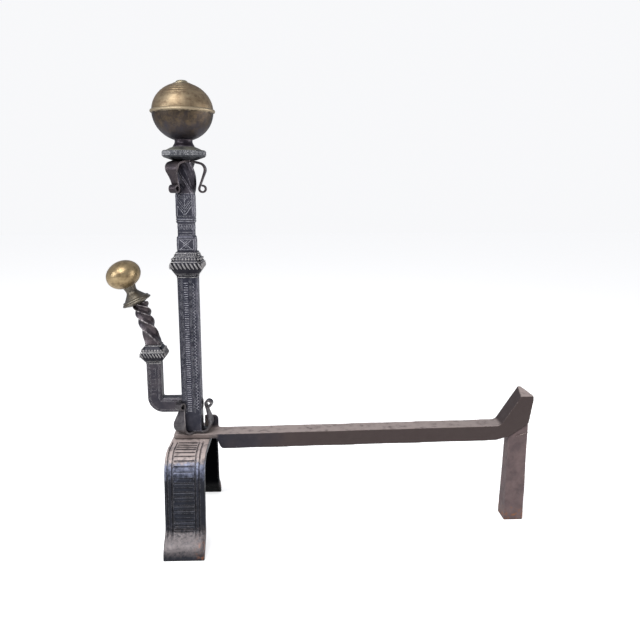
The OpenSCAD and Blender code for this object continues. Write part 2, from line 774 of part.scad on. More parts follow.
// The washer under the crown of the arch
module foot_washer() {
    color("#3f3c3e") stand()
        translate([0, 0, arch_height - arch_thick - washer_thick])
            difference() {
                cylinder(h = washer_thick, r = washer_radius);
                translate([0, 0, -past])
                    cylinder(h = washer_thick + 2 * past, d = foot_tenon + 2 * fit_gap);
            }
}

arch_foot();
billet_bar();
rear_leg();
lower_scrolls();
column();
column_knot();
upper_scrolls();
drip_disc();
ball_neck();
ball_lower();
ball_upper();
top_button();
side_arm();
arm_knot();
arm_disc();
arm_ball();
foot_washer();
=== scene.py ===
# %% [markdown]
# # An andiron of wrought iron and brass
# An andiron holds burning logs off the hearth. This one stands on a wide iron strap that is bent into an
# arch, and on a square leg at the back. A billet bar joins the two, and a chased square column rises over
# the arch. It carries a brass ball on a knurled disc, and a small twisted arm with a ball of its own
# leaves it on one side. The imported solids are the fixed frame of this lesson. Each step below takes one
# piece of the andiron, says what it is and how it could be made, and models it over its solid.

import json
import math

import bmesh
import bpy
from mathutils import Matrix, Vector, noise


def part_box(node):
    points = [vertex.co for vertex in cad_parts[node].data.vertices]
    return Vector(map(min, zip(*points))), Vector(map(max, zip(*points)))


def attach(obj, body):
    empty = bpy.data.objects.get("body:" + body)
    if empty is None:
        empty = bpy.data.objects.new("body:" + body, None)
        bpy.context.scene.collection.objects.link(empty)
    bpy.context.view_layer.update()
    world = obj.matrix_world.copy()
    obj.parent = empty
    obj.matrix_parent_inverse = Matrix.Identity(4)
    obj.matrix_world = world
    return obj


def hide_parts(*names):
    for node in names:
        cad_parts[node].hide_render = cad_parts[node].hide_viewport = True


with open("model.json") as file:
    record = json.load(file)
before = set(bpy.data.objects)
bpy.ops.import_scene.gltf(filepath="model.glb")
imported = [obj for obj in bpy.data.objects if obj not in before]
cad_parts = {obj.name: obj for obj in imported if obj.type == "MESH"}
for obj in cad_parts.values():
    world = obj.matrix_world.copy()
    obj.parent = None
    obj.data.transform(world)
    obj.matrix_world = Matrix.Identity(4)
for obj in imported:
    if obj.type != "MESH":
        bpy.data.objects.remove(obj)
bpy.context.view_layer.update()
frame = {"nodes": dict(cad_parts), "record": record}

# %% [markdown]
# The frame's origin lies on the floor under the middle of the whole andiron, but a smith would measure
# this object from the axis of its column. So every place below is written in millimetres from that axis,
# and small helpers turn it into Blender's metres.

# %% Measure from the column's axis
MM = 0.001
knot_low, knot_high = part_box("column_knot")
axis_x = (knot_low[0] + knot_high[0]) / 2


def at(x, y, z):
    """A point in millimetres from the column's axis, as a place in the frame."""
    return Vector((axis_x + x * MM, y * MM, z * MM))


def blend(a, b, share):
    """The value that lies a share of the way from a to b."""
    return a + (b - a) * share


def smooth_step(low, high, value):
    """A soft step from 0 to 1 between two limits."""
    t = min(1.0, max(0.0, (value - low) / (high - low)))
    return t * t * (3 - 2 * t)


def turned(x, y, angle):
    """A flat point turned round the middle by an angle in radians."""
    return x * math.cos(angle) - y * math.sin(angle), x * math.sin(angle) + y * math.cos(angle)


def only(obj):
    """Selects one object and nothing else."""
    if bpy.context.object and bpy.context.object.mode != "OBJECT":
        bpy.ops.object.mode_set(mode="OBJECT")
    bpy.ops.object.select_all(action="DESELECT")
    if obj:
        obj.select_set(True)
        bpy.context.view_layer.objects.active = obj


print("The column stands", round(-axis_x / MM, 1), "mm in front of the origin")

# %% [markdown]
# The heights of the stack come first, because every piece sits on the one below it. They are those of the
# solids.

# %% Heights and widths of the stack, in millimetres
ARCH_TOP, BAR_TOP, FOOT_Z = 139.5, 147.0, 151.0
KNOT_Z, BLOCK_Z, WAIST_Z, BAND_Z, PANEL_Z = 378.0, 415.0, 436.0, 456.0, 462.0
TWIST_Z, UPPER_Z, DISC_Z, NECK_Z, BALL_Z = 497.0, 538.0, 541.5, 559.5, 568.8
SHAFT_SIDE, UPPER_SIDE, WAIST_SIDE, ARRIS = 28.0, 25.4, 22.6, 1.8
print("The ball sits", BALL_Z - FOOT_Z, "mm above the column's foot")

# %% [markdown]
# ## Camera
# The photograph was taken from the near side, a metre away, from a little above the ball, and looks
# slightly down. A camera fitted to the straight edges of the object gives its place and its lens.

# %% Place the camera
SENSOR, FOCAL_PIXELS, PICTURE_PIXELS = 36.0, 700.0, 640.0
CAMERA_YAW, CAMERA_PITCH = math.radians(2.845), math.radians(10.593)
camera_data = bpy.data.cameras.new("camera")
camera_data.sensor_width = SENSOR
camera_data.lens = FOCAL_PIXELS * SENSOR / PICTURE_PIXELS
camera_data.clip_end = 20.0
camera = bpy.data.objects.new("camera", camera_data)
bpy.context.scene.collection.objects.link(camera)
bpy.context.scene.camera = camera
forward = Vector((math.sin(CAMERA_YAW) * math.cos(CAMERA_PITCH), math.cos(CAMERA_YAW) * math.cos(CAMERA_PITCH),
                  -math.sin(CAMERA_PITCH)))
camera.location = at(139.2, -1006.87, 502.0)
camera.rotation_mode = "QUATERNION"
camera.rotation_quaternion = forward.to_track_quat("-Z", "Y")
print("The camera looks from", [round(v, 3) for v in camera.location])

# %% [markdown]
# ## Stage
# The object stands on a plain pale floor, which glows a little, so that it looks white to the camera. A
# dim sky fills the shadows. Glossy rays see a darker sky, as the balls would in a studio, and the camera
# sees the sky in the floor's far tone, so that no horizon shows.

# %% Floor and sky
def new_material(name, roughness=0.5, metallic=0.0):
    """A material with an empty Principled shader, and its node tree."""
    material = bpy.data.materials.new(name)
    material.use_nodes = True
    shader = material.node_tree.nodes["Principled BSDF"]
    shader.inputs["Roughness"].default_value = roughness
    shader.inputs["Metallic"].default_value = metallic
    return material, material.node_tree, shader


def paint(red, green, blue):
    """A colour as painters name it, 0 to 255, turned into Blender's linear values."""
    return tuple(((c / 255) / 12.92 if c <= 10 else ((c / 255 + 0.055) / 1.055) ** 2.4)
                 for c in (red, green, blue)) + (1.0,)


FLOOR_SHARE, FLOOR_GLOW = 0.88, 0.56
SKY_TINT, SKY_LIGHT, DIM_TINT, DIM_LIGHT = (0.95, 0.96, 1.0), 0.45, (0.8, 0.86, 1.0), 0.4
only(None)
bpy.ops.mesh.primitive_plane_add(size=14.0, location=(0, 0, 0))
floor = bpy.context.object
floor.name = "floor"
floor_paint, floor_tree, floor_shader = new_material("floor_paint", roughness=0.9)
floor_shader.inputs["Base Color"].default_value = (FLOOR_SHARE, FLOOR_SHARE, FLOOR_SHARE, 1.0)
floor_shader.inputs["Specular IOR Level"].default_value = 0.1
floor_shader.inputs["Emission Color"].default_value = (1.0, 1.0, 1.0, 1.0)
floor_glow = floor_tree.nodes.new("ShaderNodeMath")
floor_glow.operation = "MULTIPLY"
floor_glow.inputs[1].default_value = FLOOR_GLOW
floor_rays = floor_tree.nodes.new("ShaderNodeLightPath")
floor_tree.links.new(floor_rays.outputs["Is Camera Ray"], floor_glow.inputs[0])
floor_tree.links.new(floor_glow.outputs["Value"], floor_shader.inputs["Emission Strength"])
floor.data.materials.append(floor_paint)

sky = bpy.data.worlds.new("studio_sky")
bpy.context.scene.world = sky
sky.use_nodes = True
sky_nodes, sky_links = sky.node_tree.nodes, sky.node_tree.links
sky_nodes.remove(sky_nodes["Background"])
sky_rays = sky_nodes.new("ShaderNodeLightPath")


def glow(colour, strength):
    """A plain glow of the sky."""
    node = sky_nodes.new("ShaderNodeBackground")
    node.inputs["Color"].default_value = (*colour, 1.0)
    node.inputs["Strength"].default_value = strength
    return node.outputs["Background"]


def by_ray(kind, others, these):
    """One glow for a kind of ray, and another for all others."""
    node = sky_nodes.new("ShaderNodeMixShader")
    sky_links.new(sky_rays.outputs[kind], node.inputs["Fac"])
    sky_links.new(others, node.inputs[1])
    sky_links.new(these, node.inputs[2])
    return node.outputs["Shader"]


far_floor = [FLOOR_GLOW + FLOOR_SHARE * SKY_LIGHT * c for c in SKY_TINT]
shine = by_ray("Is Glossy Ray", glow(SKY_TINT, SKY_LIGHT), glow(DIM_TINT, DIM_LIGHT))
sky_links.new(by_ray("Is Camera Ray", shine, glow(far_floor, 1.0)), sky_nodes["World Output"].inputs["Surface"])
bpy.context.scene.view_settings.view_transform = "Standard"
print("The sky in the picture is", [round(c, 2) for c in far_floor])

# %% [markdown]
# The light is a studio's: a wide soft box overhead and a little to the left, which draws the bright window
# on the balls, a cooler one from the left, and a large weak one from the right.

# %% Soft boxes
def soft_box(name, place, target, size, power, colour=(1, 1, 1)):
    """A square area light that looks at a target."""
    data = bpy.data.lights.new(name, "AREA")
    data.size = size
    data.energy = power
    data.color = colour
    light = bpy.data.objects.new(name, data)
    bpy.context.scene.collection.objects.link(light)
    light.location = place
    light.rotation_mode = "QUATERNION"
    light.rotation_quaternion = (Vector(target) - Vector(place)).to_track_quat("-Z", "Y")


soft_box("overhead_box", (-0.75, -1.15, 1.85), (-0.1, 0, 0.3), 1.3, 32)
soft_box("left_window", (-1.9, -0.9, 1.0), (-0.2, 0, 0.35), 0.8, 12, (0.92, 0.95, 1.0))
soft_box("right_box", (1.45, -0.02, 0.2), (-0.15, 0, 0.35), 1.7, 25, (1.0, 0.98, 0.97))
print("The stage has", len(bpy.data.lights), "soft boxes")

# %% [markdown]
# ## Finishes
# Forged iron and old brass share a few effects: bright metal where hands and logs rub the edges, painted
# shade that darkens the crevices, the dents of the hammer, and patches where the colour turns. Each effect is
# a node group that is built once, and each material then places it with values of its own. The helpers below
# add the nodes. A value may be a number, a colour, or the socket of another node.

# %% A small kit for nodes
def new_group(name, inputs, outputs):
    """An empty node group with named values, what comes into it and what goes out."""
    group = bpy.data.node_groups.new(name, "ShaderNodeTree")
    for socket, value in inputs.items():
        group.interface.new_socket(socket, in_out="INPUT", socket_type="NodeSocketFloat").default_value = value
    for socket in outputs:
        group.interface.new_socket(socket, in_out="OUTPUT", socket_type="NodeSocketFloat")
    print("Group", name, "takes", ", ".join(inputs))
    return group, group.nodes.new("NodeGroupInput").outputs, group.nodes.new("NodeGroupOutput").inputs


def put(tree, value, socket):
    """Sets a socket to a number or a colour, or links it to another socket."""
    if isinstance(value, (int, float, tuple)):
        socket.default_value = value
    else:
        tree.links.new(value, socket)


def calc(tree, operation, first, second, clamp=False):
    node = tree.nodes.new("ShaderNodeMath")
    node.operation = operation
    node.use_clamp = clamp
    put(tree, first, node.inputs[0])
    put(tree, second, node.inputs[1])
    return node.outputs["Value"]


def plus(tree, first, second, clamp=False):
    return calc(tree, "ADD", first, second, clamp)


def minus(tree, first, second, clamp=False):
    return calc(tree, "SUBTRACT", first, second, clamp)


def times(tree, first, *others, clamp=False):
    for other in others:
        first = calc(tree, "MULTIPLY", first, other, clamp)
    return first


def flip(tree, value):
    """What is left of a share."""
    return minus(tree, 1.0, value)


def ramp(tree, value, low, high, to=(0.0, 1.0), kind="SMOOTHSTEP"):
    """Turns a value between two limits into a share from 0 to 1, or into another range."""
    node = tree.nodes.new("ShaderNodeMapRange")
    node.interpolation_type = kind
    for socket, given in zip(("Value", "From Min", "From Max", "To Min", "To Max"), (value, low, high, *to)):
        put(tree, given, node.inputs[socket])
    return node.outputs["Result"]


def clouds(tree, scale, detail=3.0, roughness=0.55, stretch=None):
    """Noise on Object coordinates. A scale of 100 gives patches about 10 mm wide."""
    place = tree.nodes.new("ShaderNodeTexCoord").outputs["Object"]
    if stretch:
        mapping = tree.nodes.new("ShaderNodeMapping")
        put(tree, stretch, mapping.inputs["Scale"])
        put(tree, place, mapping.inputs["Vector"])
        place = mapping.outputs["Vector"]
    node = tree.nodes.new("ShaderNodeTexNoise")
    put(tree, place, node.inputs["Vector"])
    put(tree, scale, node.inputs["Scale"])
    put(tree, detail, node.inputs["Detail"])
    put(tree, roughness, node.inputs["Roughness"])
    return node.outputs["Fac"]


def blotches(tree, scale, low, high, detail=5.0, roughness=0.7):
    """Clouds with soft limits, so that some places have all of an effect and others none."""
    return ramp(tree, clouds(tree, scale, detail, roughness), low, high)


def mix(tree, share, first, second):
    """Mixes two colours."""
    node = tree.nodes.new("ShaderNodeMix")
    node.data_type = "RGBA"
    put(tree, share, node.inputs[0])
    put(tree, first, node.inputs[6])
    put(tree, second, node.inputs[7])
    return node.outputs[2]


def part_of(tree, vector, axis):
    node = tree.nodes.new("ShaderNodeSeparateXYZ")
    put(tree, vector, node.inputs["Vector"])
    return node.outputs[axis]


def place_part(tree, axis):
    """One Object coordinate, in metres."""
    return part_of(tree, tree.nodes.new("ShaderNodeTexCoord").outputs["Object"], axis)


def normal_part(tree, axis):
    """One part of the face's normal."""
    return part_of(tree, tree.nodes.new("ShaderNodeNewGeometry").outputs["Normal"], axis)


def use(tree, group, **values):
    """Places a group with values of its own, and gives what goes out of it."""
    node = tree.nodes.new("ShaderNodeGroup")
    node.node_tree = group
    for socket, value in values.items():
        put(tree, value, node.inputs[socket])
    return node.outputs


print("The kit for nodes is ready")

# %% [markdown]
# Worn edges. The Bevel node looks round each point and gives the normal that a rounded edge would have.
# Where that differs from the face's own normal there is an edge. Crests that are already round have no
# such edge, so the mesh's pointiness finds those, and their light colour is partly wear and partly a painted
# highlight. Noise breaks the lines up, and ambient occlusion takes the inner corners out again, because only
# outer edges are rubbed bright. The Crevice output is painted shade: ambient occlusion and low pointiness
# find the hollows, and the materials darken them.

# %% Group: worn edges
worn_edges, given, result = new_group(
    "worn_edges", {"Breaks": 260.0, "Amount": 1.0, "Crests": 0.0, "Grooves": 0.0}, ("Mask", "Crevice"))
tree = worn_edges
bevel = tree.nodes.new("ShaderNodeBevel")
bevel.samples = 4
bevel.inputs["Radius"].default_value = 1.3 * MM
face = tree.nodes.new("ShaderNodeNewGeometry").outputs
hollow = tree.nodes.new("ShaderNodeAmbientOcclusion")
hollow.samples = 6
hollow.inputs["Distance"].default_value = 5 * MM
dot = tree.nodes.new("ShaderNodeVectorMath")
dot.operation = "DOT_PRODUCT"
put(tree, bevel.outputs["Normal"], dot.inputs[0])
put(tree, face["Normal"], dot.inputs[1])
sharp = ramp(tree, flip(tree, dot.outputs["Value"]), 0.01, 0.16)
# Partly painted highlight: round crests, found by their pointiness, are lightened like worn edges.
crests = times(tree, ramp(tree, face["Pointiness"], 0.508, 0.56), given["Crests"])
open_share = ramp(tree, hollow.outputs["AO"], 0.35, 0.8)
broken = ramp(tree, clouds(tree, given["Breaks"], 4.0), 0.36, 0.6)
edge = calc(tree, "MAXIMUM", sharp, crests)
put(tree, times(tree, edge, open_share, broken, given["Amount"], clamp=True), result["Mask"])
# Painted shade: places closed in by ambient occlusion, and hollows of low pointiness, go out as Crevice.
grooves = times(tree, flip(tree, ramp(tree, face["Pointiness"], 0.44, 0.485)), given["Grooves"])
put(tree, calc(tree, "MAXIMUM", flip(tree, open_share), grooves), result["Crevice"])

# %% [markdown]
# The forged skin. A hammer leaves shallow dents as wide as its face, fire scale leaves pits of a
# millimetre, and a wire brush leaves grain. Three noises of those sizes add up to one height, and a
# fourth, wider one gives the patches in the colour.

# %% Group: forged skin
forged_skin, given, result = new_group(
    "forged_skin", {"Dents": 90.0, "Pits": 900.0, "Pit Share": 0.35}, ("Height", "Patches"))
tree = forged_skin
pits = times(tree, clouds(tree, given["Pits"], 3.0, 0.6), given["Pit Share"])
grain = times(tree, clouds(tree, times(tree, given["Pits"], 3.1), 2.0), 0.12)
put(tree, plus(tree, clouds(tree, given["Dents"], 2.0, 0.4), plus(tree, pits, grain)), result["Height"])
put(tree, blotches(tree, 55.0, 0.3, 0.7, 5.0, 0.62), result["Patches"])

# %% [markdown]
# Three more groups say where a point is. Rust creeps up from the hearth and the painted top light of the
# arch stays on its crown, so the first gives a soft step at a height, broken up by noise. Faces that look
# up are painted lighter, as painted light from above, and the second finds them from the normal. The inside of
# the arch looks away from every lamp, and it is painted near black as painted shade. A face is on the inside
# when it looks back towards the middle plane, so its normal and its place lie on opposite sides of it.

# %% Groups: height fade, facing up and looking in
height_fade, given, result = new_group(
    "height_fade", {"Height": 0.02, "Softness": 0.01, "Breaks": 160.0}, ("Below",))
tree = height_fade
wave = times(tree, minus(tree, clouds(tree, given["Breaks"], 4.0), 0.5), given["Softness"], 6.0)
level = minus(tree, plus(tree, given["Height"], wave), place_part(tree, "Z"))
share = calc(tree, "DIVIDE", level, given["Softness"])
put(tree, plus(tree, times(tree, share, 0.5), 0.5, clamp=True), result["Below"])

facing_up, given, result = new_group("facing_up", {"From": 0.4, "To": 0.85}, ("Mask",))
put(facing_up, ramp(facing_up, normal_part(facing_up, "Z"), given["From"], given["To"]), result["Mask"])

looking_in, given, result = new_group("looking_in", {"Full At": 0.03}, ("Mask",))
inwards = times(looking_in, normal_part(looking_in, "Y"), place_part(looking_in, "Y"), -1.0)
put(looking_in, calc(looking_in, "DIVIDE", inwards, given["Full At"], clamp=True), result["Mask"])


def below(tree, height, softness, breaks):
    """A share from 0 to 1 that grows where a point sinks under a height, in metres."""
    return use(tree, height_fade, Height=height, Softness=softness, Breaks=breaks)["Below"]


def up_mask(tree, low, high):
    """A share from 0 to 1 that grows as a face turns up."""
    return use(tree, facing_up, From=low, To=high)["Mask"]


# %% [markdown]
# ### Iron
# All the iron has one build: a dark colour and a second one in patches, bright metal on the edges, painted
# shade in the crevices, and the forged skin as bump. What differs is the colours, how polished it is, what
# painted light the top faces get, and how much rust there is. The marks of the chisel get irons of their own,
# lighter than the faces they stand on: partly rubbed bright, partly a painted highlight on the raised relief.

# %% Build an iron
# Painted shade in the crevices: a dark colour and how much of it goes on, and a browner one for the brass.
CREVICE_SHADE, CREVICE_SHADE_SHARE, BRASS_CREVICE_SHADE, BRASS_EDGE = (26, 22, 24), 0.65, (40, 32, 24), (226, 206, 160)


def surface(tree, shader, colour, roughness, dull, height, strength, depth):
    """Gives the shader its colour, a roughness that follows a noise, and a bump of a depth in millimetres."""
    relief = tree.nodes.new("ShaderNodeBump")
    put(tree, strength, relief.inputs["Strength"])
    put(tree, depth * MM, relief.inputs["Distance"])
    put(tree, height, relief.inputs["Height"])
    put(tree, relief.outputs["Normal"], shader.inputs["Normal"])
    put(tree, colour, shader.inputs["Base Color"])
    put(tree, ramp(tree, dull, 0.3, 0.7, roughness, "LINEAR"), shader.inputs["Roughness"])


def iron(name, dark, patch, edge, roughness=(0.42, 0.62), metallic=0.6, bump=0.5, dents=90.0, wear=1.0,
         crests=0.0, grooves=0.0, warm=None, near=None, top=None, top_above=None, toe=None, rub=None, soot=None,
         rust=None, rust_from=None):
    """A forged iron. Colours are painter's values, and an option is a colour with the limits of its place."""
    material, tree, shader = new_material(name, metallic=metallic)
    skin = use(tree, forged_skin, Dents=dents)
    worn = use(tree, worn_edges, Amount=wear, Crests=crests, Grooves=grooves)
    # Painted shade: the crevices get a share of a dark colour.
    crevice_shade = times(tree, worn["Crevice"], CREVICE_SHADE_SHARE)
    colour = mix(tree, skin["Patches"], paint(*dark), paint(*patch))
    if warm:
        # A browner tone along the bar, and painted light near the column: the bar's end there is painted a light
        # tan.
        along = plus(tree, place_part(tree, "X"), times(tree, clouds(tree, 30.0), 0.12))
        colour = mix(tree, ramp(tree, along, *warm[1]), colour, paint(*warm[0]))
        colour = mix(tree, ramp(tree, along, *near[1]), paint(*near[0]), colour)
    # Painted light from above: faces that look up get the lighter top colour, on the arch only above top_above,
    # and there they lose some metal and some painted shade.
    if top:
        facing = up_mask(tree, top[1], min(0.98, top[1] + 0.4))
        share = times(tree, facing, blotches(tree, 110.0, 0.1, 0.55, 4.0, 0.55))
        if top_above:
            share = times(tree, share, flip(tree, below(tree, top_above, 0.005, 160.0)))
        colour = mix(tree, share, colour, paint(*top[0]))
        bare = flip(tree, times(tree, share, 0.85))
        put(tree, times(tree, bare, metallic), shader.inputs["Metallic"])
        crevice_shade = times(tree, crevice_shade, flip(tree, times(tree, share, 0.55)))
    # Painted light: between about 7 and 33 mm up, the more a face of the toe looks up, the lighter grey it is
    # painted.
    if toe:
        band = minus(tree, below(tree, 0.033, 0.008, 240.0), below(tree, 0.007, 0.004, 200.0), clamp=True)
        share = times(tree, up_mask(tree, -0.3, 0.6), band, blotches(tree, 260.0, 0.1, 0.62))
        colour = mix(tree, share, colour, paint(*toe))
    # Painted highlight: a lighter blue band between two heights round the arch's shoulder stands in for the
    # light it reflects.
    if rub:
        low, high = rub[1]
        band = minus(tree, below(tree, high, 0.003, 160.0), below(tree, low, 0.006, 220.0), clamp=True)
        colour = mix(tree, times(tree, band, blotches(tree, 130.0, 0.25, 0.7)), colour, paint(*rub[0]))
    outside = 1.0
    # Painted shade: faces inside the arch, which look back towards the middle plane, are painted near black and
    # lose half their specular.
    if soot:
        inside = use(tree, looking_in)["Mask"]
        colour = mix(tree, inside, colour, paint(*soot))
        outside = flip(tree, inside)
        put(tree, times(tree, outside, 0.5), shader.inputs["Specular IOR Level"])
    if rust:
        tone, height = rust
        spots = times(tree, below(tree, height, height / 2, 120.0), blotches(tree, 210.0, 0.47, 0.62), outside)
        if rust_from:
            spots = times(tree, spots, ramp(tree, place_part(tree, "X"), *rust_from))
        colour = mix(tree, spots, colour, paint(*tone))
    # The painted shade darkens the crevices.
    colour = mix(tree, crevice_shade, colour, paint(*CREVICE_SHADE))
    colour = mix(tree, worn["Mask"], colour, paint(*edge))
    surface(tree, shader, colour, roughness, clouds(tree, 70.0, 5.0, 0.6), skin["Height"], bump, 0.6)
    return material


print("The way to build an iron is ready")


# %% [markdown]
# The table below holds one row for each iron: its dark colour, its patches, its bright edges, and what
# else differs from the common build. The last six are for the chisel's marks, the twisted bars and the lower
# leaves.

# %% Iron finishes
IRON = {
    "arch_iron": ((21, 22, 28), (36, 39, 50), (160, 158, 166), dict(
        top=((186, 171, 166), 0.3), top_above=0.128, toe=(104, 97, 97), rub=((138, 143, 166), (0.111, 0.1265)),
        rust=((140, 90, 64), 0.022), rust_from=(-0.19, -0.168), soot=(6, 6, 8), dents=60.0, bump=0.9,
        roughness=(0.3, 0.48), metallic=0.5, grooves=1.0, wear=0.5)),
    "bar_iron": ((34, 35, 45), (46, 44, 54), (190, 176, 170), dict(
        top=((158, 144, 139), 0.6), warm=((67, 55, 53), (-0.11, 0.03)), near=((128, 116, 112), (-0.112, -0.094)),
        dents=70.0, bump=0.8, roughness=(0.45, 0.65), metallic=0.3)),
    "leg_iron": ((90, 76, 77), (114, 96, 95), (182, 164, 156), dict(
        rust=((138, 92, 66), 0.014), dents=70.0, bump=0.8, roughness=(0.5, 0.7), metallic=0.3)),
    "scroll_iron": ((52, 47, 52), (78, 70, 71), (150, 145, 146), dict(
        dents=120.0, wear=0.8, roughness=(0.3, 0.5), metallic=0.8)),
    "column_iron": ((48, 49, 60), (74, 73, 82), (178, 178, 186), dict(
        dents=110.0, bump=0.45, roughness=(0.34, 0.54), metallic=0.7)),
    "knot_iron": ((28, 28, 34), (44, 43, 50), (176, 175, 178), dict(
        dents=140.0, bump=0.35, roughness=(0.34, 0.5), metallic=0.7)),
    "disc_iron": ((50, 52, 58), (72, 74, 78), (168, 168, 166), dict(
        top=((98, 97, 88), 0.4), dents=160.0, bump=0.3)),
    "neck_iron": ((44, 38, 46), (62, 54, 60), (130, 118, 126), dict(
        dents=160.0, bump=0.2, roughness=(0.3, 0.42))),
    "arm_iron": ((56, 54, 62), (80, 75, 80), (178, 174, 178), dict(
        dents=120.0, bump=0.4, roughness=(0.34, 0.52), metallic=0.7)),
    # The marks are lighter than the faces they stand on: partly rubbed bright, partly a painted highlight on the
    # relief.
    "column_marks": ((92, 93, 104), (136, 135, 144), (200, 199, 205), dict(dents=240.0, bump=0.3, wear=1.3)),
    "knot_marks": ((112, 110, 112), (158, 155, 154), (226, 223, 220), dict(
        dents=240.0, bump=0.3, wear=1.4, metallic=0.4)),
    # Painted light: the lower leaves are a lighter copy of the leaf iron, with lighter patches, for the light
    # they catch.
    "bright_leaf": ((50, 47, 52), (104, 99, 100), (158, 154, 153), dict(
        dents=150.0, wear=0.6, bump=0.8, roughness=(0.26, 0.42), metallic=0.75)),
    "disc_marks": ((72, 74, 80), (104, 105, 110), (180, 180, 182), dict(dents=240.0, bump=0.3)),
    "cord": ((54, 50, 56), (92, 83, 85), (206, 199, 198), dict(
        dents=120.0, bump=0.35, crests=1.0, wear=1.3, roughness=(0.3, 0.48), metallic=0.75)),
    "twisted_neck": ((42, 40, 49), (78, 73, 80), (176, 172, 178), dict(
        dents=110.0, bump=0.8, crests=1.0, wear=1.3, roughness=(0.32, 0.5), metallic=0.7)),
}
FINISH = {name: iron(name, *colours, **options) for name, (*colours, options) in IRON.items()}
print("Iron finishes:", ", ".join(FINISH))

# %% [markdown]
# ### Brass
# The brass was turned on a lathe, polished once, and has tarnished since. Brown patches dull it, more so
# on its underside, where no cloth reaches, and the lower shell is also painted darker as painted shade. The
# tool left fine rings round its axis. Each ring lies at one height along that axis, so a Mapping node moves
# and turns the pattern's own height to it.

# %% Brass finishes
def brass(name, bright, aged, stain, axis, lean=0.0, stain_share=(0.45, 0.7), roughness=(0.24, 0.4), rings=0.25,
          metallic=0.85, bead_above=None, low_reflection=None):
    """A turned brass. The axis is a point on it, in metres, and the lean is about the hearth's direction."""
    material, tree, shader = new_material(name, metallic=metallic)
    worn = use(tree, worn_edges, Amount=0.6)
    streaks = ramp(tree, clouds(tree, 70.0, 5.0, 0.7, (1.0, 1.0, 9.0)), 0.4, 0.65)
    stains = blotches(tree, 130.0, *stain_share, 6.0)
    colour = mix(tree, blotches(tree, 34.0, 0.32, 0.68, 5.0, 0.6), paint(*bright), paint(*aged))
    # Streaks, stains and worn edges are the brass's own; the crevice share is painted shade.
    for share, strength, tone in ((streaks, 0.45, aged), (stains, 0.75, stain),
                                  (worn["Crevice"], 0.7, BRASS_CREVICE_SHADE), (worn["Mask"], 0.6, BRASS_EDGE)):
        colour = mix(tree, times(tree, share, strength), colour, paint(*tone))
    if bead_above:
        colour = mix(tree, below(tree, bead_above, 0.0008, 200.0), paint(164, 148, 122), colour)
    # Painted reflection: below about 14 mm over its foot, the lower shell is tinted a cool grey.
    if low_reflection:
        low = times(tree, below(tree, (BALL_Z + 14) * MM, 0.012, 60.0), 0.8)
        colour = mix(tree, low, colour, paint(*low_reflection))
    centred = tree.nodes.new("ShaderNodeMapping")
    centred.vector_type = "TEXTURE"
    put(tree, axis, centred.inputs["Location"])
    put(tree, (0.0, -lean, 0.0), centred.inputs["Rotation"])
    put(tree, tree.nodes.new("ShaderNodeTexCoord").outputs["Object"], centred.inputs["Vector"])
    line = tree.nodes.new("ShaderNodeTexNoise")
    line.noise_dimensions = "1D"
    put(tree, 480.0, line.inputs["Scale"])
    put(tree, 4.0, line.inputs["Detail"])
    put(tree, part_of(tree, centred.outputs["Vector"], "Z"), line.inputs["W"])
    height = plus(tree, line.outputs["Fac"], times(tree, clouds(tree, 300.0), 0.8))
    surface(tree, shader, colour, roughness, clouds(tree, 60.0, 5.0, 0.65), height, rings, 0.3)
    return material


small_low, small_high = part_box("arm_ball")
small_axis = tuple((small_low + small_high) / 2)
ball_axis = (axis_x, 0.0, 0.0)
FINIAL_LEAN = math.radians(24)
BRASS = {
    "ball_brass": ((158, 141, 114), (130, 110, 84), (98, 77, 56), ball_axis, dict(
        roughness=(0.36, 0.5), metallic=0.75)),
    # Painted shade: the lower shell's brass is darker than the upper shell's, on top of its heavier tarnish. Its
    # rim above bead_above keeps a lighter brass.
    "ball_brass_low": ((104, 88, 68), (78, 66, 54), (52, 46, 44), ball_axis, dict(
        stain_share=(0.35, 0.6), roughness=(0.34, 0.5), metallic=0.75, bead_above=(BALL_Z + 36) * MM,
        low_reflection=(64, 62, 72))),
    "button_brass": ((190, 178, 150), (150, 138, 110), (104, 92, 70), ball_axis, dict()),
    "arm_disc_brass": ((118, 112, 100), (92, 85, 76), (62, 54, 50), small_axis, dict(
        lean=FINIAL_LEAN, stain_share=(0.5, 0.8), roughness=(0.3, 0.42), rings=0.08, metallic=0.8)),
    "small_ball_brass": ((182, 160, 122), (150, 128, 94), (94, 76, 54), small_axis, dict(
        lean=FINIAL_LEAN, roughness=(0.28, 0.42), metallic=0.75)),
}
FINISH.update({name: brass(name, *row, **options) for name, (*row, options) in BRASS.items()})
for slot in frame["record"]["materials"]:
    print(slot["slot"], "is finished" if slot["slot"] in FINISH else "HAS NO FINISH")

# %% [markdown]
# Every CAD node gets the finish of its slot now. The nodes that a modelled piece replaces later are hidden
# then, and the ones that stay keep it.

# %% Finish the solids
for part in frame["record"]["subparts"]:
    node = frame["nodes"][part["node"]]
    node.data.materials.clear()
    node.data.materials.append(FINISH[part["material_slot"]])

# %% [markdown]
# ## Ways to model
# Two ways make nearly all of this andiron. Turned parts, the balls, the disc and the neck, are drawn as a
# half outline and spun round their axis, as on a lathe. Forged parts are extruded ring by ring along their
# length, and each new ring is set to its own section, as a smith draws a bar out. A small number on each
# corner of the first ring is copied by every extrusion, so each new ring knows its own corners.

# %% Helpers: spin and loft
MERGE = 0.01 * MM


def whole(obj):
    """Opens a mesh in edit mode with all of it selected."""
    only(obj)
    bpy.ops.object.mode_set(mode="EDIT")
    bpy.ops.mesh.select_all(action="SELECT")


def outwards(obj):
    """Closes seams and poles and turns every face outwards."""
    whole(obj)
    bpy.ops.mesh.remove_doubles(threshold=MERGE)
    bpy.ops.mesh.normals_make_consistent(inside=False)
    bpy.ops.object.mode_set(mode="OBJECT")


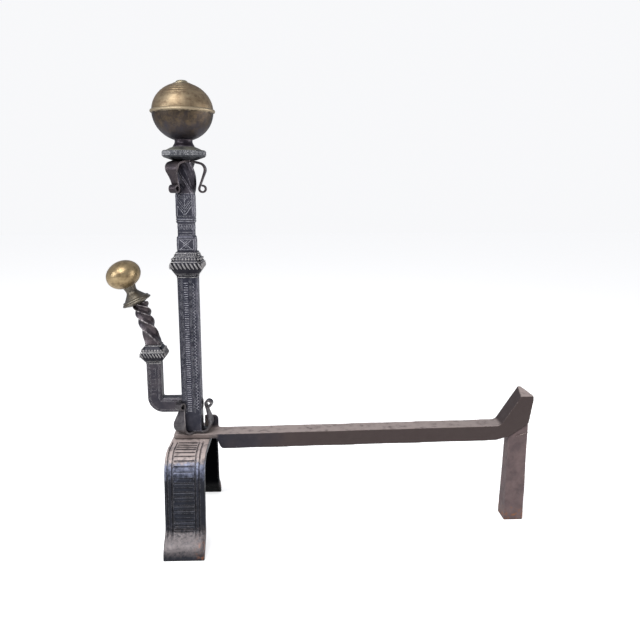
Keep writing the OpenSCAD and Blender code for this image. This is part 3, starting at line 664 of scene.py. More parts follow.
def settle(obj):
    """Puts an object's place into its mesh."""
    only(obj)
    bpy.ops.object.transform_apply(location=True, rotation=True, scale=True)


def smooth(obj, angle):
    """Smooth shading, except over edges sharper than an angle."""
    only(obj)
    bpy.ops.object.shade_smooth_by_angle(angle=math.radians(angle))


def finish_piece(obj, finish, *nodes, angle=35, look=None):
    """Gives a piece its finish and its body, and the nodes that it stands for."""
    smooth(obj, angle)
    obj.data.materials.clear()
    obj.data.materials.append(FINISH[look or finish])
    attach(obj, "root")
    if nodes:
        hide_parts(*nodes)
    print(obj.name, "has", len(obj.data.polygons), "faces")


def spun(name, outline, steps=96):
    """Spins a closed half outline of (radius, height) in millimetres round the column's axis."""
    only(None)
    bpy.ops.mesh.primitive_plane_add(size=MM, location=at(outline[0][0], 0, outline[0][1]))
    obj = bpy.context.object
    obj.name = name
    whole(obj)
    bpy.ops.mesh.merge(type="CENTER")
    for (r0, z0), (r1, z1) in zip(outline, outline[1:] + outline[:1]):
        step = ((r1 - r0) * MM, 0, (z1 - z0) * MM)
        bpy.ops.mesh.extrude_vertices_move(TRANSFORM_OT_translate={"value": step})
    bpy.ops.mesh.select_all(action="SELECT")
    bpy.ops.mesh.spin(steps=steps, angle=2 * math.pi, center=at(0, 0, 0), axis=(0, 0, 1))
    bpy.ops.object.mode_set(mode="OBJECT")
    settle(obj)
    outwards(obj)
    return obj


def lofted(name, rings):
    """Extrudes a face ring by ring. Each ring is a list of places in the frame, all of the same length."""
    only(None)
    bpy.ops.mesh.primitive_circle_add(vertices=len(rings[0]), radius=MM, fill_type="NGON", location=(0, 0, 0))
    obj = bpy.context.object
    obj.name = name
    bpy.ops.object.mode_set(mode="EDIT")
    mesh = bmesh.from_edit_mesh(obj.data)
    corner = mesh.verts.layers.int.new("corner")
    for i, vert in enumerate(mesh.verts):
        vert[corner] = i
        vert.co = rings[0][i]
    bmesh.update_edit_mesh(obj.data)
    bpy.ops.mesh.select_all(action="SELECT")
    for ring in rings[1:]:
        bpy.ops.mesh.extrude_region_move()
        mesh = bmesh.from_edit_mesh(obj.data)
        corner = mesh.verts.layers.int["corner"]
        for vert in mesh.verts:
            if vert.select:
                vert.co = ring[vert[corner]]
        bmesh.update_edit_mesh(obj.data)
    bpy.ops.object.mode_set(mode="OBJECT")
    outwards(obj)
    return obj


def carry(obj, x, z, angle):
    """Tips a piece that was spun on the column's axis, and carries its foot to another place."""
    obj.matrix_world = (Matrix.Translation(at(x, 0, z)) @ Matrix.Rotation(angle, 4, "Y")
                        @ Matrix.Translation(-at(0, 0, 0)))
    settle(obj)


def cut_below(obj, height):
    """Cuts off what lies below a height, and closes the cut."""
    whole(obj)
    bpy.ops.mesh.bisect(plane_co=(0, 0, height), plane_no=(0, 0, 1), clear_inner=True, use_fill=True)
    bpy.ops.object.mode_set(mode="OBJECT")


def shape_by(obj, kind, **settings):
    """Applies one modifier with its settings."""
    only(obj)
    tool = obj.modifiers.new(kind.lower(), kind)
    for name, value in settings.items():
        setattr(tool, name, value)
    bpy.ops.object.modifier_apply(modifier=tool.name)


def bevelled(obj, width, angle):
    """Rounds the edges that are sharper than an angle."""
    shape_by(obj, "BEVEL", width=width * MM, segments=2, limit_method="ANGLE", angle_limit=math.radians(angle),
             harden_normals=False)
    outwards(obj)


def joined(pieces, name):
    """Joins pieces into the first of them."""
    only(None)
    for piece in pieces:
        piece.select_set(True)
    bpy.context.view_layer.objects.active = pieces[0]
    bpy.ops.object.join()
    pieces[0].name = name
    return pieces[0]


def many(name, template, places):
    """Copies a small template to many places, each with its own mesh, and joins the copies into one piece."""
    copies = []
    for place in places:
        copy = bpy.data.objects.new(name, template.data.copy())
        copy.data.transform(place)
        bpy.context.scene.collection.objects.link(copy)
        copies.append(copy)
    return joined(copies, name)


def remove(obj):
    bpy.data.objects.remove(obj, do_unlink=True)


print("Two ways to model are ready: spun and lofted")

# %% [markdown]
# Many outlines are given as a few points with a smooth line through them. This helper fills the line in,
# as a bent spline does on a drawing board.

# %% Helper: a smooth line through points
def through(points, steps=4):
    """More points on a smooth curve that runs through the given ones."""
    line = []
    for i in range(len(points) - 1):
        before, after = points[max(0, i - 1)], points[min(len(points) - 1, i + 2)]
        for k in range(steps):
            t = k / steps
            line.append(tuple(0.5 * (2 * p + (q - o) * t + (2 * o - 5 * p + 4 * q - r) * t * t
                                     + (3 * p - o - 3 * q + r) * t ** 3)
                              for o, p, q, r in zip(before, points[i], points[i + 1], after)))
    line.append(tuple(points[-1]))
    return line


def arc(rx, rz, middle, start, end, steps):
    """Points on an ellipse round the axis, between two angles in degrees."""
    angles = [math.radians(blend(start, end, i / steps)) for i in range(steps + 1)]
    return [(rx * math.cos(angle), middle + rz * math.sin(angle)) for angle in angles]


print("A smooth line through 3 points has", len(through([(0, 0), (1, 1), (2, 0)])), "points")

# %% [markdown]
# ## The ball
# The big ball is two turned shells. The lower one has a bead on its rim that holds the upper one, and the
# upper one shows a few rings that the lathe left round its top. Both are closed shells with a wall, spun
# from one outline each. The rings are real steps in the outline, because they catch the light as thin
# lines.

# %% Turn the ball, its button and its neck
BALL_RADIUS, BALL_DROP, BALL_RISE, BALL_WALL, BEAD_RADIUS = 42.0, 40.0, 38.0, 2.5, 2.4
NECK_RADIUS, SEAT_RADIUS, BORE = 12.5, 13.5, 6.3
equator = BALL_Z + BALL_DROP * math.sqrt(1 - (NECK_RADIUS / BALL_RADIUS) ** 2)
seat = equator + BALL_RISE * math.sqrt(1 - (SEAT_RADIUS / BALL_RADIUS) ** 2)
neck_angle = -math.degrees(math.acos(NECK_RADIUS / BALL_RADIUS))
seat_angle = math.degrees(math.acos(SEAT_RADIUS / BALL_RADIUS))
inner_floor = -math.degrees(math.asin((equator - BALL_Z - BALL_WALL) / (BALL_DROP - BALL_WALL)))
inner_roof = math.degrees(math.asin((seat - BALL_WALL - equator) / (BALL_RISE - BALL_WALL)))

RING_ANGLES, RING_WIDTH, RING_DEPTH = (36.0, 42.5, 48.5, 54.5, 60.0, 64.5), 0.75, 0.011
ringed = []
for r, z in arc(BALL_RADIUS, BALL_RISE, equator, 0, seat_angle, 150):
    angle = math.degrees(math.asin(min(1.0, (z - equator) / BALL_RISE)))
    sunk = sum(math.exp(-((angle - ring) / RING_WIDTH) ** 2) for ring in RING_ANGLES)
    share = 1 - RING_DEPTH * sunk
    ringed.append((r * share, equator + (z - equator) * share))
inside = arc(BALL_RADIUS - BALL_WALL, BALL_RISE - BALL_WALL, equator, inner_roof, 0, 24)
ball_top = spun("ball_top", ringed + [(BORE, seat), (BORE, seat - BALL_WALL)] + inside, steps=112)
finish_piece(ball_top, "ball_brass", "ball_upper", angle=50)

bead = [(BALL_RADIUS + r, z) for r, z in arc(BEAD_RADIUS, BEAD_RADIUS, equator, -72, 84, 13)]
inside = arc(BALL_RADIUS - BALL_WALL, BALL_DROP - BALL_WALL, equator, 0, inner_floor, 24)
outside = arc(BALL_RADIUS, BALL_DROP, equator, neck_angle, -3.4, 64)
ball_bowl = spun("ball_bowl", [(BORE, BALL_Z)] + outside + bead
                 + [(BALL_RADIUS + 0.3, equator + 2.2), (BALL_RADIUS + 0.3, equator)] + inside
                 + [(BORE, BALL_Z + BALL_WALL)], steps=112)
finish_piece(ball_bowl, "ball_brass_low", "ball_lower", angle=50)

BUTTON_HEIGHT = 5.28
button_line = through([(12.3, 0.0), (12.5, 0.6), (11.2, 1.3), (8.6, 1.9), (8.1, 3.0), (6.0, 4.6), (2.4, 5.25),
                       (0.0, BUTTON_HEIGHT)], 4)
top_knob = spun("top_knob", [(BORE, seat)] + [(max(0.0, r), seat + z) for r, z in button_line]
                + [(0.0, seat + BUTTON_HEIGHT / 2), (BORE, seat + BUTTON_HEIGHT / 2)])
finish_piece(top_knob, "button_brass", "top_button", angle=50)

neck_line = through([(15.0, 0.0), (14.7, 1.4), (12.8, 4.6), (12.2, 7.4), (12.5, 9.3)], 5)
spool = spun("neck_spool", [(BORE, NECK_Z)] + [(r, NECK_Z + z) for r, z in neck_line] + [(BORE, BALL_Z)])
finish_piece(spool, "neck_iron", "ball_neck", angle=40)

# %% [markdown]
# ## The knurled disc
# The drip disc is iron, turned to a flat cone with a thick rim. A smith cut the rim into small diamonds
# with a chisel. A bump map would vanish in profile, so each diamond is a real little pyramid: one is
# modelled from a cone of four sides, and its copies go round the rim in three staggered rows.

# %% Turn the disc and cut its knurl
RIM_LOW, RIM_HIGH, RIM_RADIUS = DISC_Z + 5.28, DISC_Z + 12.28, 30.5
disc_line = [(BORE, DISC_Z), (17.0, DISC_Z), (28.4, RIM_LOW - 1.3), (RIM_RADIUS - 0.9, RIM_LOW),
             (RIM_RADIUS - 0.55, RIM_LOW + 0.8), (RIM_RADIUS - 0.55, RIM_HIGH - 0.8),
             (RIM_RADIUS - 0.9, RIM_HIGH), (28.6, RIM_HIGH + 0.9), (26.8, RIM_HIGH + 0.7),
             (22.5, RIM_HIGH + 2.6), (18.4, RIM_HIGH + 4.6), (17.2, RIM_HIGH + 4.7), (16.2, NECK_Z - 0.1),
             (15.0, NECK_Z), (BORE, NECK_Z)]
disc = spun("knurled_disc", disc_line)

only(None)
bpy.ops.mesh.primitive_cone_add(vertices=4, radius1=1.45 * MM, radius2=0.35 * MM, depth=0.75 * MM)
diamond = bpy.context.object
settle(diamond)
KNURLS, KNURL_ROWS = 78, 3
on_rim = Matrix.Translation(((RIM_RADIUS - 0.35) * MM, 0, 0)) @ Matrix.Rotation(math.pi / 2, 4, "Y")
places = []
for row in range(KNURL_ROWS):
    z = blend(RIM_LOW + 1.6, RIM_HIGH - 1.6, row / (KNURL_ROWS - 1))
    for i in range(KNURLS):
        turn = 2 * math.pi * (i + 0.5 * (row % 2)) / KNURLS
        places.append(Matrix.Translation(at(0, 0, z)) @ Matrix.Rotation(turn, 4, "Z") @ on_rim)
knurl = many("disc_knurl", diamond, places)
remove(diamond)
finish_piece(disc, "disc_iron", "drip_disc", angle=25)
finish_piece(knurl, "disc_iron", "drip_disc", angle=25, look="disc_marks")

# %% [markdown]
# ## The small finial
# The side arm ends in a moulded brass disc and a flattened ball, both leaning outwards. They are spun
# upright on the column's axis, where the outline is easy to read, and then tilted and carried to the end
# of the arm.

# %% Turn the small disc and ball
FINIAL_FOOT, FINIAL_BORE, SMALL_SEAT = (-73.12, 339.68), 4.3, 27.5
small_line = [(FINIAL_BORE, 0.0), (11.9, 0.0), (15.0, 1.2), (19.2, 2.2)]
small_line += through([(19.2, 2.2), (20.9, 3.0), (21.2, 4.2), (20.6, 5.4), (19.4, 5.9)], 3)[1:]
small_line += through([(19.4, 5.9), (19.5, 6.9), (18.8, 8.2), (17.2, 9.0), (16.0, 9.2)], 3)[1:]
small_line += through([(15.6, 9.6), (12.8, 13.0), (9.8, 16.6), (8.1, 19.6), (8.0, 22.6), (9.2, SMALL_SEAT)], 4)
small_disc = spun("small_disc", small_line + [(FINIAL_BORE, SMALL_SEAT)], steps=72)
carry(small_disc, *FINIAL_FOOT, -FINIAL_LEAN)
finish_piece(small_disc, "arm_disc_brass", "arm_disc", angle=30)

SMALL_RADIUS, SMALL_HALF, SMALL_MIDDLE, SMALL_RINGS, SMALL_CORE = 25.0, 20.0, 46.08, (-2.2, 6.5), 47.5
ball_line = []
for r, z in arc(SMALL_RADIUS, SMALL_HALF, SMALL_MIDDLE, -68.3, 90, 72):
    sunk = sum(math.exp(-((z - SMALL_MIDDLE - ring) / 0.5) ** 2) for ring in SMALL_RINGS)
    ball_line.append((max(0.0, r) * (1 - 0.006 * sunk), z))
small_ball = spun("small_ball", [(FINIAL_BORE, SMALL_SEAT)] + ball_line
                  + [(0.0, SMALL_CORE), (FINIAL_BORE, SMALL_CORE)], steps=84)
carry(small_ball, *FINIAL_FOOT, -FINIAL_LEAN)
finish_piece(small_ball, "small_ball_brass", "arm_ball", angle=50)

# %% [markdown]
# ## The column
# The column was forged from one square bar. Each face is chased between fine lines: a ladder down the
# middle and a zigzag along one edge. The lines are cut into the loft's own section, so they run dead
# straight, and they fade out above the plain foot. The rungs and zigzags come later, as relief.

# %% Loft the shaft
LINES, LINE_DEPTH = (-9.7, -7.4, 3.3, 5.3), 0.6


def fine_line(u, face, sunk):
    """The four points of a fine line that is cut into a face."""
    return [(u - 0.5, face), (u - 0.2, sunk), (u + 0.2, sunk), (u + 0.5, face)]


def square_ring(z, half, depth=0.0, lines=LINES):
    """A square section with blunt corners and a few fine lines down each face."""
    ring = []
    for side in range(4):
        edge = [(-half + ARRIS, -half)]
        for u in lines:
            edge += fine_line(u, -half, -half + depth)
        edge.append((half - ARRIS, -half))
        ring += [at(*turned(x, y, math.radians(90 * side)), z) for x, y in edge]
    return ring


HALF = SHAFT_SIDE / 2
shaft = lofted("column_shaft", [square_ring(z, HALF, depth) for z, depth in (
    (FOOT_Z, 0), (FOOT_Z + 28, 0), (FOOT_Z + 32, LINE_DEPTH), (KNOT_Z - 4, LINE_DEPTH), (KNOT_Z - 2, 0),
    (BLOCK_Z - 2, 0))])
finish_piece(shaft, "column_iron", "column", angle=25)

# %% [markdown]
# Above the knot the bar is smaller: a block, a sunk waist, a double band, a panel, and last a neck that
# was twisted hot. One loft makes the bar up to the panel and a second one the neck, where the twist is only
# a turn that grows from ring to ring.

# %% Loft the head of the column
UP, WAIST = UPPER_SIDE / 2, WAIST_SIDE / 2
head = [(BLOCK_Z - 3, UP), (WAIST_Z - 0.8, UP), (WAIST_Z, UP - 0.4), (WAIST_Z + 1.4, WAIST),
        (BAND_Z - 1.4, WAIST), (BAND_Z, UP - 0.3), (BAND_Z + 1, UP), (BAND_Z + 2.2, UP),
        (BAND_Z + 2.6, UP - 0.7), (BAND_Z + 3.2, UP - 0.7), (BAND_Z + 3.6, UP), (BAND_Z + 4.8, UP),
        (BAND_Z + 5.4, UP - 0.5), (PANEL_Z + 0.6, UP - 0.2), (TWIST_Z - 1, UP - 0.2)]
column_head = lofted("column_head", [square_ring(z, half, lines=()) for z, half in head])
bevelled(column_head, 0.35, 30)
finish_piece(column_head, "column_iron", "column", angle=28)

TWIST_STEPS, TWIST_TURN, FLUTE, NECK_POINTS, NECK_HALF = 72, -100.0, 1.9, 26, UP - 0.2
rings = []
for i in range(TWIST_STEPS + 1):
    t = i / TWIST_STEPS
    flute = FLUTE * smooth_step(0.04, 0.3, t) * (1 - 0.5 * smooth_step(0.85, 1.0, t))
    ring = []
    for side in range(4):
        angle = math.radians(TWIST_TURN * t) + math.radians(90 * side)
        for k in range(NECK_POINTS):
            u = blend(-1, 1, k / NECK_POINTS)
            streak = 0.34 * flute * math.sin(11 * u + 2.0 * noise.noise((side * 3.1, t * 2.0, u)))
            sunk = (flute + streak) * (1 - u * u) ** 1.5
            x, y = turned(u * NECK_HALF, sunk - NECK_HALF, angle)
            blunt = 1 - 0.11 * max(0.0, abs(u) - 0.8) / 0.2
            ring.append(at(blunt * x, blunt * y, blend(TWIST_Z - 1, UPPER_Z, t)))
    rings.append(ring)
twisted_neck = lofted("twisted_neck", rings)
finish_piece(twisted_neck, "column_iron", "column", angle=55, look="twisted_neck")

# %% [markdown]
# The column's foot goes down through the arch as a round tenon, and its end is hammered over a washer. The
# arm's tenon comes out on the column's other side and is hammered flat there. Both rivet heads are low
# domes, spun like the other round parts.

# %% Hammer the rivet heads
washer_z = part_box("foot_washer")[0][2] / MM
rivet_line = [(0.0, -4.0), (4.0, -3.8), (8.0, -3.0), (10.6, -1.4), (11.0, -0.2), (7.0, 0.0), (7.0, 12.0),
              (0.0, 12.0)]
rivet = spun("foot_rivet", [(r, washer_z + z) for r, z in rivet_line], 48)
finish_piece(rivet, "column_iron", "column", angle=50)
ARM_Z = 190.0
arm_rivet = spun("arm_rivet", [(0.0, 0.0), (8.2, 0.0), (7.9, 1.0), (6.0, 1.8), (3.0, 2.0), (0.0, 2.0)], 40)
carry(arm_rivet, HALF, ARM_Z, math.pi / 2)
finish_piece(arm_rivet, "arm_iron", "side_arm", angle=50)

# %% [markdown]
# ## The knots
# Both square bars wear a knot: a collar forged square, thick in the belly and blunt at the corners. Its
# outline is the same on all sides, so one list of shares, from lip to belly and back, sets the size of
# every ring.

# %% Loft the knots
SWELL = through([(0, 0), (0, 0.06), (0.18, 0.12), (0.5, 0.22), (0.8, 0.315), (0.96, 0.39), (1, 0.46),
                 (0.97, 0.54), (0.78, 0.66), (0.55, 0.76), (0.34, 0.84), (0.2, 0.9), (0.08, 0.96), (0, 1)], 3)
ARM_X, ARM_KNOT_Z, TWIST_FOOT_Z, ARM_SIDE, ARM_DEPTH, LIP = -53.0, 253.0, 281.0, 20.5, 23.0, 0.5
COLUMN_KNOT = (0, KNOT_Z, BLOCK_Z - KNOT_Z, SHAFT_SIDE, SHAFT_SIDE, 22.5)
ARM_KNOT = (ARM_X, ARM_KNOT_Z, TWIST_FOOT_Z - ARM_KNOT_Z, ARM_SIDE, ARM_DEPTH, 18.3)


def knot_half(lip, belly, share):
    """Half width of a knot at a share of its height."""
    for (k0, s0), (k1, s1) in zip(SWELL, SWELL[1:]):
        if s0 <= share <= s1:
            return lip + (belly - lip) * blend(k0, k1, (share - s0) / max(1e-6, s1 - s0))
    return lip


def knot(name, x, z, height, width, depth, belly):
    """A square knot round a bar of width by depth, at x on the middle plane."""
    lips = (width / 2 + LIP, depth / 2 + LIP, (width + depth - 2 * ARRIS) / math.sqrt(8) + LIP)
    rings = []
    for swell, share in SWELL:
        w, d, corner = (blend(lip, full, swell) for lip, full in zip(lips, (belly, belly, belly * 1.22)))
        reach = corner * math.sqrt(2)
        ring = []
        for sx, sy, swap in ((1, -1, 0), (1, 1, 1), (-1, 1, 0), (-1, -1, 1)):
            a, b = (reach - d, d), (w, reach - w)
            soft = ((a[0] + b[0]) / 2 + 0.25, (a[1] + b[1]) / 2 + 0.25)
            corner_points = [a, soft, b] if not swap else [b, soft, a]
            ring += [at(x + sx * u, sy * v, z + height * share) for u, v in corner_points]
        rings.append(ring)
    return lofted(name, rings)


for name, node, sizes, width in (("column_collar", "column_knot", COLUMN_KNOT, 0.5),
                                 ("arm_collar", "arm_knot", ARM_KNOT, 0.4)):
    collar = knot(name, *sizes)
    bevelled(collar, width, 25)
    finish_piece(collar, "knot_iron", node, angle=32)

# %% [markdown]
# ## Chasing
# A smith cuts cold iron with small chisels and punches. The marks stand out because the raised metal
# between them is lighter: partly rubbed bright, partly a painted highlight. Three tools are enough here: a
# ridge with sloping sides, a round bead and a slanted tooth. Each is modelled once, and a helper lays copies
# on any of the four faces of a square bar.

# %% Model the three marks
only(None)
bpy.ops.mesh.primitive_cube_add(size=1.0)
ridge = bpy.context.object
bpy.ops.object.mode_set(mode="EDIT")
bpy.ops.mesh.select_all(action="DESELECT")
mesh = bmesh.from_edit_mesh(ridge.data)
for face in mesh.faces:
    face.select_set(face.normal.z > 0.5)
bmesh.update_edit_mesh(ridge.data)
bpy.ops.transform.resize(value=(0.9, 0.35, 1.0))
bpy.ops.object.mode_set(mode="OBJECT")

only(None)
bpy.ops.mesh.primitive_ico_sphere_add(subdivisions=2, radius=0.5)
bead_mark = bpy.context.object
cut_below(bead_mark, -0.1)

only(None)
bpy.ops.mesh.primitive_uv_sphere_add(segments=10, ring_count=6, radius=0.5)
tooth = bpy.context.object
cut_below(tooth, -0.12)

TO_FACE = Matrix(((1, 0, 0, 0), (0, 0, -1, 0), (0, 1, 0, 0), (0, 0, 0, 1)))


def mark(face, half, u, z, length, width, height, angle=0.0, x=0.0, tilt=0.0):
    """Where a mark goes: face 0 to 3 round the bar, u across it, and an angle in the face, in degrees."""
    return (Matrix.Translation(at(x, 0, 0)) @ Matrix.Rotation(math.radians(90 * face), 4, "Z")
            @ Matrix.Translation(Vector((u, -half, z)) * MM) @ TO_FACE
            @ Matrix.Rotation(math.radians(tilt), 4, "X") @ Matrix.Rotation(math.radians(angle), 4, "Z")
            @ Matrix.Diagonal((length * MM, width * MM, height * MM, 1)))


print("Marks:", len(ridge.data.polygons), len(bead_mark.data.polygons), len(tooth.data.polygons), "faces")

# %% [markdown]
# The ladder has a rung every three millimetres or so, and the zigzag runs beside it. No two rungs of the
# real one are the same, so each gets a small shift and turn from a seeded noise, which gives the same
# result in every run.

# %% Chase the shaft
def waver(seed, amount):
    """A small seeded difference, from -amount to amount."""
    return amount * noise.noise((seed * 3.7, seed * 1.3 + 5.1, 0.7)) * 2.0


def climb(low, high, pitch):
    """The numbered heights of a row of marks, from low to just under high."""
    return [(i, low + pitch * i) for i in range(math.ceil((high - low) / pitch))]


places = []
LADDER_PITCH, LADDER_X, LADDER_WIDTH, ZIGZAG_PITCH, ZIGZAG_X, ZIGZAG_SLANT = 3.2, -2.1, 6.0, 2.3, 9.0, 42
for face in range(4):
    for step, z in climb(FOOT_Z + 31, KNOT_Z - 6, LADDER_PITCH):
        seed = face * 100 + step
        places.append(mark(face, HALF, LADDER_X + waver(seed, 0.25), z, LADDER_WIDTH + waver(seed + 0.5, 0.5),
                           1.9, 0.9, waver(seed + 0.3, 3)))
    for step, z in climb(FOOT_Z + 34, KNOT_Z - 8, ZIGZAG_PITCH):
        slant = ZIGZAG_SLANT if step % 2 else -ZIGZAG_SLANT
        places.append(mark(face, HALF, ZIGZAG_X + waver(step + 0.2, 0.2), z, 5.0, 0.8, 0.4,
                           slant + waver(step, 8)))
shaft_marks = many("shaft_chasing", ridge, places)
finish_piece(shaft_marks, "column_iron", angle=20, look="column_marks")

# %% [markdown]
# The block over the knot has a cross in a frame, the waist has upright hatching, and the panel has nested
# chevrons under a middle line. These are ridges again, laid at other angles.

# %% Chase the head of the column
cross_z = (BLOCK_Z + WAIST_Z) / 2 - 0.2
places = []
for face in range(4):
    for angle in (40, -40):
        places.append(mark(face, UP, 0, cross_z, 21, 2.1, 1.1, angle))
        for shift in (-3.2, 3.2):
            places.append(mark(face, UP, 0, cross_z + shift, 11, 0.9, 0.6, angle))
    for z in (BLOCK_Z + 3.4, WAIST_Z - 3.6, WAIST_Z - 1.4):
        places.append(mark(face, UP, 0, z, 21, 1.2, 0.9))
    for u in (-10.6, 10.6):
        places.append(mark(face, UP, u, cross_z, 14.5, 1.1, 0.8, 90))
    for i in range(11):
        slant = 106 + (10 if i % 2 else -8) + waver(i + face, 4)
        places.append(mark(face, WAIST, blend(-8.8, 8.8, i / 10), BAND_Z - 6.8, 6.5, 1.1, 0.8, slant))
    for z in (WAIST_Z + 2.6, WAIST_Z + 6.4, BAND_Z - 2.4):
        places.append(mark(face, WAIST, 0, z, 19.5, 0.9, 0.7))
    for z in (BAND_Z + 1.6, BAND_Z + 4.2):
        places.append(mark(face, UP, 0, z, 21.5, 1.3, 0.8))
    for rise, width in ((10.4, 2.0), (14.8, 1.0), (18.8, 1.6), (22.6, 0.9)):
        for sign in (-1, 1):
            places.append(mark(face, NECK_HALF, sign * 5.0, PANEL_Z + rise, 15.6, width, 0.9, sign * 54))
    for u, rise in ((2.6, 28.0), (5.2, 29.6), (7.8, 31.0)):
        for sign in (-1, 1):
            places.append(mark(face, NECK_HALF, sign * u, PANEL_Z + rise, 6.5, 0.8, 0.6, sign * 68))
    places.append(mark(face, NECK_HALF, 0, PANEL_Z + 18.5, 27, 1.4, 0.8, 90))
    for u in (-10.3, 10.3):
        places.append(mark(face, NECK_HALF, u, (PANEL_Z + TWIST_Z) / 2, 31, 1.0, 0.7, 90))
    for i in range(9):
        places.append(mark(face, NECK_HALF, blend(-8.2, 8.2, i / 8), PANEL_Z + 2.4, 2.6, 0.8, 0.6, 90))
head_marks = many("head_chasing", ridge, places)
finish_piece(head_marks, "column_iron", angle=20, look="column_marks")

# %% [markdown]
# Each knot has a fine row of beads and a bold one on its upper slope, and a row of slanted teeth round its
# belly, like a rope laid over it. The marks sit on the slope, so their height sets how far out they lie
# and how they tilt.

# %% Bead and rope the knots
def knot_slope(lip, belly, height, share):
    """How far out a knot's face lies at a share of its height, and how it tilts there."""
    under, over = knot_half(lip, belly, share - 0.02), knot_half(lip, belly, share + 0.02)
    return knot_half(lip, belly, share), math.degrees(math.atan2(over - under, 0.04 * height))


def spread(width, pitch):
    """The places of a row of marks that fills a width to both sides of the middle."""
    count = int(width / pitch)
    return [(i - count / 2) * pitch for i in range(count + 1)]


def dress_knot(name, rows, x, z, height, width, depth, belly):
    """Beads, teeth and bands for a knot. A row of beads is (share of the height, size, pitch)."""
    scale = height / (BLOCK_Z - KNOT_Z)
    bold = [(share, 0.1, 2.4, 1.2, 0.8) for share in (0.03, 0.63, rows[0][0] - 0.065, 0.955)]
    fine = [(share, 0.2, 3.5, 0.8, 0.5) for share in (0.1, 0.17)]
    beads, teeth, bands = [], [], []
    for face in range(4):
        lip = (depth if face % 2 == 0 else width) / 2 + LIP
        for share, size, pitch in rows:
            out, tilt = knot_slope(lip, belly, height, share)
            size *= scale
            for u in spread(2 * out - 4.8, pitch * scale):
                beads.append(mark(face, out - 0.1, u, z + height * share, size, size, size, x=x, tilt=tilt))
        out, tilt = knot_slope(lip, belly, height, 0.47)
        for u in spread(2 * out - 4.5, 5.6 * scale):
            teeth.append(mark(face, out - 0.6, u, z + height * 0.475, 10.5 * scale, 3.1 * scale, 3.6 * scale,
                              -58, x=x, tilt=tilt))
        for share, sunk, short, broad, high in bold + fine:
            out, tilt = knot_slope(lip, belly, height, share)
            bands.append(mark(face, out - sunk, 0, z + height * share, 2 * out - short, broad, high, x=x,
                              tilt=tilt))
    return joined([many(name + "_beads", bead_mark, beads), many(name + "_teeth", tooth, teeth),
                   many(name + "_bands", ridge, bands)], name)


column_rows, arm_rows = ((0.885, 2.0, 2.7), (0.73, 3.4, 4.2)), ((0.74, 4.2, 5.4),)
for name, rows, sizes in (("column_knot_chasing", column_rows, COLUMN_KNOT),
                          ("arm_knot_chasing", arm_rows, ARM_KNOT)):
    finish_piece(dress_knot(name, rows, *sizes), "knot_iron", angle=40, look="knot_marks")

# %% [markdown]
# ## Bent bars and straps
# The arm, the leaves and the arch are all bars bent on the anvil. Each follows a line made of straight
# runs and round bends. A point of the line holds its place, its heading and the bar's thickness there, so
# a ring can be laid square across the bar at every point.

# %% Helpers: a bent line
def ahead(p, run, thick):
    """The point a straight way on. A point is (along, up, heading in degrees, thickness)."""
    heading = math.radians(p[2])
    return (p[0] + run * math.cos(heading), p[1] + run * math.sin(heading), p[2], thick)


def bend(p, radius, angle, thick, step=6.0):
    """The points round a bend."""
    side = math.copysign(1.0, angle)
    heading = math.radians(p[2])
    centre = (p[0] - side * radius * math.sin(heading), p[1] + side * radius * math.cos(heading))
    count = math.ceil(abs(angle) / step)
    points = []
    for i in range(1, count + 1):
        h = heading + math.radians(angle) * i / count
        points.append((centre[0] + side * radius * math.sin(h), centre[1] - side * radius * math.cos(h),
                       math.degrees(h), blend(p[3], thick, i / count)))
    return points


def beside(p, distance):
    """The place beside a point of the line, to the left of its heading."""
    heading = math.radians(p[2])
    return p[0] - distance * math.sin(heading), p[1] + distance * math.cos(heading)


print("A quarter bend has", len(bend((0, 0, 0, 1), 10, 90, 1)), "points")

# %% [markdown]
# The side arm starts as a level square bar, turns up in a tight bend, and runs through its knot. Fine
# border lines are cut along its faces, as on the column.

# %% Bend the side arm
INNER_BEND, ARM_LINE_DEPTH = 2.0, 0.45


def arm_ring(p):
    """The arm's section at a point of its line, with fine lines along all four faces."""
    across, thick = ARM_DEPTH / 2, p[3] / 2
    half_ring = [(-across + ARRIS, -thick)]
    for u in (-7.6, 7.6):
        half_ring += fine_line(u, -thick, -thick + ARM_LINE_DEPTH)
    half_ring += [(across - ARRIS, -thick), (across, -thick + ARRIS)]
    for v in (-6.4, 6.4):
        half_ring += [(face, up) for up, face in fine_line(v, across, across - ARM_LINE_DEPTH)]
    half_ring += [(across, thick - ARRIS)]
    ring = half_ring + [(-u, -v) for u, v in half_ring]
    return [at(beside(p, v)[0], u, beside(p, v)[1]) for u, v in ring]


arm_line = [(-HALF + 1, ARM_Z, 180.0, ARM_SIDE), (ARM_X + ARM_SIDE / 2 + INNER_BEND, ARM_Z, 180.0, ARM_SIDE)]
arm_line += bend(arm_line[-1], ARM_SIDE / 2 + INNER_BEND, -90, ARM_SIDE)
arm_line.append(ahead(arm_line[-1], ARM_KNOT_Z + 4 - arm_line[-1][1], ARM_SIDE))
arm_bar = lofted("arm_bar", [arm_ring(p) for p in arm_line])
finish_piece(arm_bar, "arm_iron", "side_arm", angle=30)

places = []
for face, sign in ((0, 1), (2, -1)):
    for i in range(8):
        places.append(mark(face, ARM_DEPTH / 2, -sign, 208 + 5.4 * i, 5.2, 1.0, 0.55, waver(i, 4), x=ARM_X))
    for u in (-4.6, 2.6):
        places.append(mark(face, ARM_DEPTH / 2, sign * u, 227, 44, 0.8, 0.5, 90, x=ARM_X))
arm_marks = many("arm_chasing", ridge, places)
finish_piece(arm_marks, "arm_iron", angle=20)

# %% [markdown]
# Past the knot the arm leans outwards and turns into a cord. The smith grooved the four faces and then
# twisted the bar hot, a little more than one full turn. So the section is a star with four hollows and
# four blunt ridges, and it turns as it rises. Near the knot it is still nearly square, because the vice
# held the bar there.

